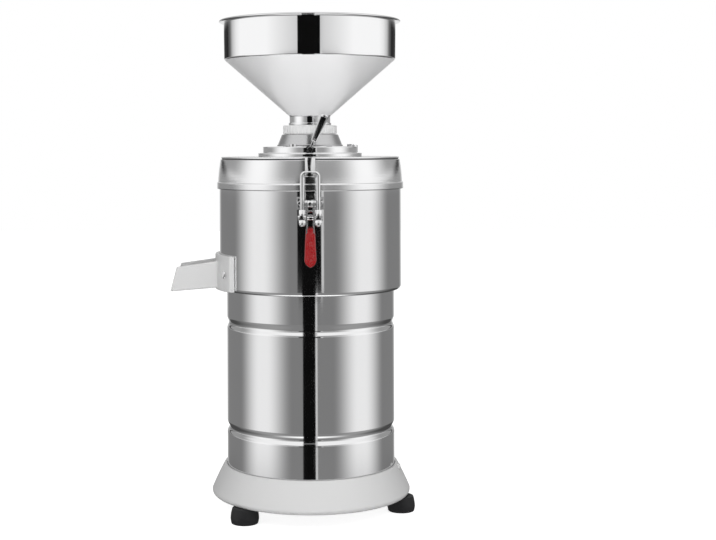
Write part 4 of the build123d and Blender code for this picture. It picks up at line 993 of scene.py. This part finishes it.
@dataclass(frozen=True)
class Barrels:
    """Upper barrel round the chamber, and lower barrel round the motor with its grooves. Sizes in mm."""

    sheet: float = 1.2
    upper_r: float = 122.0
    upper_z: Point2 = (293.0, 436.0)
    corner_r: float = 5.0
    deck_bore_r: float = 98.0
    port_low: Corner = (-130.0, -26.0, 301.0)
    port_high: Corner = (-92.0, 26.0, 329.0)
    lower_r: float = 112.5
    lower_z: Point2 = (54.0, 293.0)
    groove_half: float = 8.0
    groove_steps: int = 16
    grooves: tuple[Point2, Point2] = ((110.0, 3.0), (249.0, 2.2))

    def build(self) -> None:
        """Make both barrels."""
        low, top = self.upper_z
        inner_r = self.upper_r - self.sheet
        upper = turned("upper_barrel", rounded([
            (self.deck_bore_r, low, 0.3), (self.upper_r, low, self.corner_r), (self.upper_r, top, 0.4),
            (inner_r, top, 0.4), (inner_r, low + self.sheet, self.corner_r - self.sheet),
            (self.deck_bore_r, low + self.sheet, 0.3),
        ]), FINE)
        carve(upper, block("port_cutter", self.port_low, self.port_high))
        stands_for(upper, "frame", BARREL, "polished_steel", "outer_barrel")
        outside, inside = self.side(self.lower_r), self.side(self.lower_r - self.sheet)
        lower = turned("lower_barrel", supported([*outside, *reversed(inside)]), FINE)
        stands_for(lower, "frame", BARREL, "polished_steel", "motor_barrel")

    def side(self, radius: float) -> list[Point2]:
        """Give the lower barrel's upright side at one radius, with its rolled grooves."""
        points: list[Point2] = [(radius, self.lower_z[0])]
        for middle, depth in self.grooves:
            for step in range(self.groove_steps + 1):
                along = step / self.groove_steps * 2.0 - 1.0
                sink = depth * (math.cos(along * math.pi) + 1.0) / 2.0
                points.append((radius - sink, middle + along * self.groove_half))
        return [*points, (radius, self.lower_z[1])]


@dataclass(frozen=True)
class Base:
    """Flared cast ring with its lug, and three domed rubber feet. Sizes in mm."""

    top: Point2 = (116.0, 60.0)
    bulge: Point2 = (124.75, 43.0)
    widest: Point2 = (132.5, 26.0)
    tuck: Point2 = (131.6, 21.8)
    low_r: Point2 = (129.0, 124.5)
    low_z: float = 20.0
    hollow_r: float = 113.0
    ledge_z: Point2 = (48.0, 54.0)
    ledge_bore_r: float = 98.0
    barrel_r: float = 112.8
    lug_azimuth: float = 80.0
    lug_r: float = 4.5
    lug_length: float = 7.3
    lug_start: float = 0.5
    foot_circle_r: float = 123.0
    foot_start: float = -44.0
    foot_side: tuple[Point2, Point2, Point2] = ((18.4, 6.0), (17.9, 12.0), (16.0, 20.0))
    sole_r: Point2 = (7.0, 17.2)
    screw_r: Point2 = (3.05, 5.3)
    screw_z: Point2 = (4.0, 10.0)
    boss_circle_r: float = 119.5
    boss_r: float = 6.0
    boss_z: Point2 = (20.5, 35.0)

    def build(self, pattern: RingPattern) -> None:
        """Make the ring and the feet."""
        flare = bow(self.top, self.bulge, self.widest, 18, (1.2, 0.0))
        tuck = bow(self.widest, self.tuck, (self.low_r[0], self.low_z), 8)
        ring = turned("base_flare", rounded([
            *flare, *tuck[1:], (self.low_r[1], self.low_z, 0.6), (self.hollow_r, self.ledge_z[0], 2.0),
            (self.ledge_bore_r, self.ledge_z[0], 0.5), (self.ledge_bore_r, self.ledge_z[1], 0.5),
            (self.barrel_r, self.ledge_z[1], 0.3), (self.barrel_r, self.top[1], 0.8),
        ]), FINE)
        boss = stub("foot_bosses", self.boss_r, self.boss_z, (0.6, 0.0),
                    around(self.boss_circle_r, self.foot_start))
        names = ("left", "right", "rear")
        join(ring, pattern.repeat(boss, len(names)), self.lug())
        stands_for(ring, "frame", CAST, "cast_alloy", "base_ring")
        for index, name in enumerate(names):
            self.foot(name, self.foot_start + 360.0 / len(names) * index)

    def lug(self) -> Piece:
        """Make the round lug on the ring's upper edge."""
        lug = stub("base_lug", self.lug_r, (0.0, self.lug_length), (0.0, 1.2))
        x, y = around(self.barrel_r + self.lug_start, self.lug_azimuth)
        out = Vector((x, y, 0.0)).to_track_quat("Z", "Y").to_matrix().to_4x4()
        lug.data.transform(Matrix.Translation((x * MM, y * MM, (self.top[1] - self.lug_r) * MM)) @ out)
        return lug

    def foot(self, name: str, azimuth: float) -> None:
        """Make one rubber foot."""
        side = bow(*self.foot_side, 8, (1.5, 0.8))
        (hole_r, outer_r), (bore_r, head_r), (head_z, seat_z) = self.sole_r, self.screw_r, self.screw_z
        foot = turned(f"rubber_foot_{name}", rounded([
            (hole_r, 0.0, 0.6), (outer_r, 0.0, 1.2), *side, (bore_r, self.low_z, 0.0), (bore_r, seat_z, 0.0),
            (head_r, seat_z, 0.0), (head_r, head_z, 0.2), (hole_r, head_z, 0.3),
        ]), 96, around(self.foot_circle_r, azimuth))
        stands_for(foot, "frame", RUBBER, "black_rubber", f"foot_{name}")


@dataclass(frozen=True)
class Spout:
    """Cast trough and saddle in one, with the soft corners and hollows of a sand casting. Sizes in mm."""

    voxel: float = 0.85
    passes: int = 7
    pull: float = 0.5

    def build(self, frame: dict) -> None:
        """Make the casting."""
        trough = copied(frame, "spout", "spout_casting")
        skin = trough.modifiers.new("skin", "REMESH")
        skin.mode = "VOXEL"
        skin.voxel_size = self.voxel * MM
        skin.use_smooth_shade = True
        rub = trough.modifiers.new("rub", "SMOOTH")
        rub.factor = self.pull
        rub.iterations = self.passes
        baked(trough).data.shade_smooth()
        stands_for(trough, "frame", SPOUT_CAST, "cast_alloy", "spout")


@dataclass(frozen=True)
class ToggleLatch:
    """One toggle latch: catch, base with its pin, two-plate handle with its grip, and the bail."""

    side: str
    edge: float = 0.25
    round_edge: float = 0.3
    rod_edge: float = 0.4
    end_width: float = 0.89
    mouth_width: float = 1.06

    def build(self, frame: dict) -> None:
        """Make every piece of the latch."""
        handle, bail = f"latch_handle_{self.side}", f"latch_bail_{self.side}"
        pieces = (
            ("catch", "frame", self.edge), ("latch_base", "frame", self.edge),
            ("latch_pin", "frame", self.round_edge), ("latch_lever", handle, self.edge),
            ("latch_bail", bail, self.rod_edge), ("latch_trunnion", bail, self.edge),
            ("latch_nuts", bail, self.edge),
        )
        for kind, body, edge in pieces:
            node = f"{kind}_{self.side}"
            stands_for(copied(frame, node, f"{node}_part", edge), body, PLATED, "bright_zinc", node)
        node = f"latch_grip_{self.side}"
        grip = copied(frame, node, f"red_grip_{self.side}", self.round_edge)
        self.fill_out(grip)
        stands_for(grip, handle, VINYL, "red_vinyl", node)

    def fill_out(self, grip: Piece) -> None:
        """Make the grip stouter at its mouth and slimmer at its end, as dipped vinyl sets."""
        heights = [corner.co.z for corner in grip.data.vertices]
        low, top = min(heights), max(heights)
        for corner in grip.data.vertices:
            along = (corner.co.z - low) / (top - low)
            corner.co.x *= self.end_width + (self.mouth_width - self.end_width) * along


@dataclass(frozen=True)
class LockLever:
    """Tapered handle with a flattened face on a flat neck and a round hub. Sizes in mm."""

    pivot: Corner = (0.0, -56.5, 479.3)
    lean: float = 23.5
    hub_r: float = 4.0
    bore_r: float = 2.55
    neck_half: float = 1.7
    neck_edge: float = 0.4
    overlap: float = 1.0
    half_depth: float = 2.0
    grip: Point2 = (11.5, 46.0)
    grip_half: Point2 = (3.7, 5.5)
    grip_start: tuple[Point2, ...] = ((0.0, 0.62), (0.6, 0.86), (1.6, 1.0))
    flatness: float = 0.68
    squareness: float = 6.0
    sides: int = 40

    def section(self, half: float) -> list[Point2]:
        """Give the handle's section: wide across, flattened in front and behind, with round corners."""
        points = []
        power = 2.0 / self.squareness
        for step in range(self.sides):
            angle = 2.0 * math.pi * (step + 0.5) / self.sides
            across, out = math.cos(angle), math.sin(angle)
            points.append((half * math.copysign(abs(across) ** power, across),
                           half * self.flatness * math.copysign(abs(out) ** power, out)))
        return points

    def build(self) -> None:
        """Make the lever."""
        deep = self.half_depth
        arm = turned("lock_lever_arm", rounded([
            (self.bore_r, -deep, 0.2), (self.hub_r, -deep, 0.5),
            (self.hub_r, deep, 0.5), (self.bore_r, deep, 0.2),
        ]), 48)
        arm.data.transform(Matrix.Rotation(math.radians(90.0), 4, "X"))
        start, end = self.grip
        neck = block("lever_neck", (-self.neck_half, -deep, self.bore_r + self.overlap),
                     (self.neck_half, deep, start + self.overlap), self.neck_edge)
        length = end - start
        low_half, high_half = self.grip_half
        rings = []
        for along, scale in (*self.grip_start, (length, 1.0)):
            half = (low_half + (high_half - low_half) * along / length) * scale
            rings.append([(x, y, start + along) for x, y in self.section(half)])
        join(arm, neck, skinned("lever_handle", rings))
        place = Matrix.Translation(Vector(self.pivot) * MM) @ Matrix.Rotation(math.radians(self.lean), 4, "Y")
        arm.data.transform(place)
        stands_for(arm, "lever", PLATED, "dark_steel", "lock_lever")


@dataclass(frozen=True)
class CarriedOver:
    """CAD nodes whose shape is right as it is, under their finishes."""

    finishes: tuple[tuple[Finish, tuple[str, ...]], ...] = (
        (PLATED, ("foot_screws", "bottom_plate_screws", "pot_bolts", "motor_bearings", "motor_tie_bolts",
                  "neck_flange_screws", "lever_stud", "lever_tip", "spout_screws", "latch_rivets")),
        (SATIN_SHEET, ("bottom_plate", "capacitor_clip", "feed_screw", "scraper_paddle")),
        (CAST, ("chamber_pot",)),
        (SEAL, ("shaft_seal", "lid_gasket")),
        (MOTOR_PAINT, ("motor_upper_bell", "motor_lower_bell")),
        (LAMINATED, ("stator_core", "motor_rotor")),
        (COPPER, ("stator_windings",)),
        (TURNED, ("stator_sleeve", "motor_shaft")),
        (HARD_IRON, ("stator_burr", "rotor_burr")),
        (BLACK_PLASTIC, ("cooling_fan", "switch_bezel", "cable_gland")),
        (GLOSS_PLASTIC, ("switch_rocker",)),
        (WHITE_PLASTIC, ("run_capacitor",)),
    )

    def build(self, frame: dict) -> None:
        """Put each finish on its nodes."""
        for finish, names in self.finishes:
            for name in names:
                finish.dress(frame["nodes"][name])
                log.info("%s keeps its CAD shape in %s", name, finish.name)


def main() -> None:
    """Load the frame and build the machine's parts in order."""
    logging.basicConfig(level=logging.INFO, format="%(name)s: %(message)s")
    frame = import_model()
    Studio().build()
    pattern = RingPattern("ring_pattern")
    Base().build(pattern)
    Barrels().build()
    Lid().build()
    Neck().build(pattern)
    Hopper().build()
    Spout().build(frame)
    for side in ("front", "rear"):
        ToggleLatch(side).build(frame)
    LockLever().build()
    CarriedOver().build(frame)


if __name__ == "__main__":
    main()
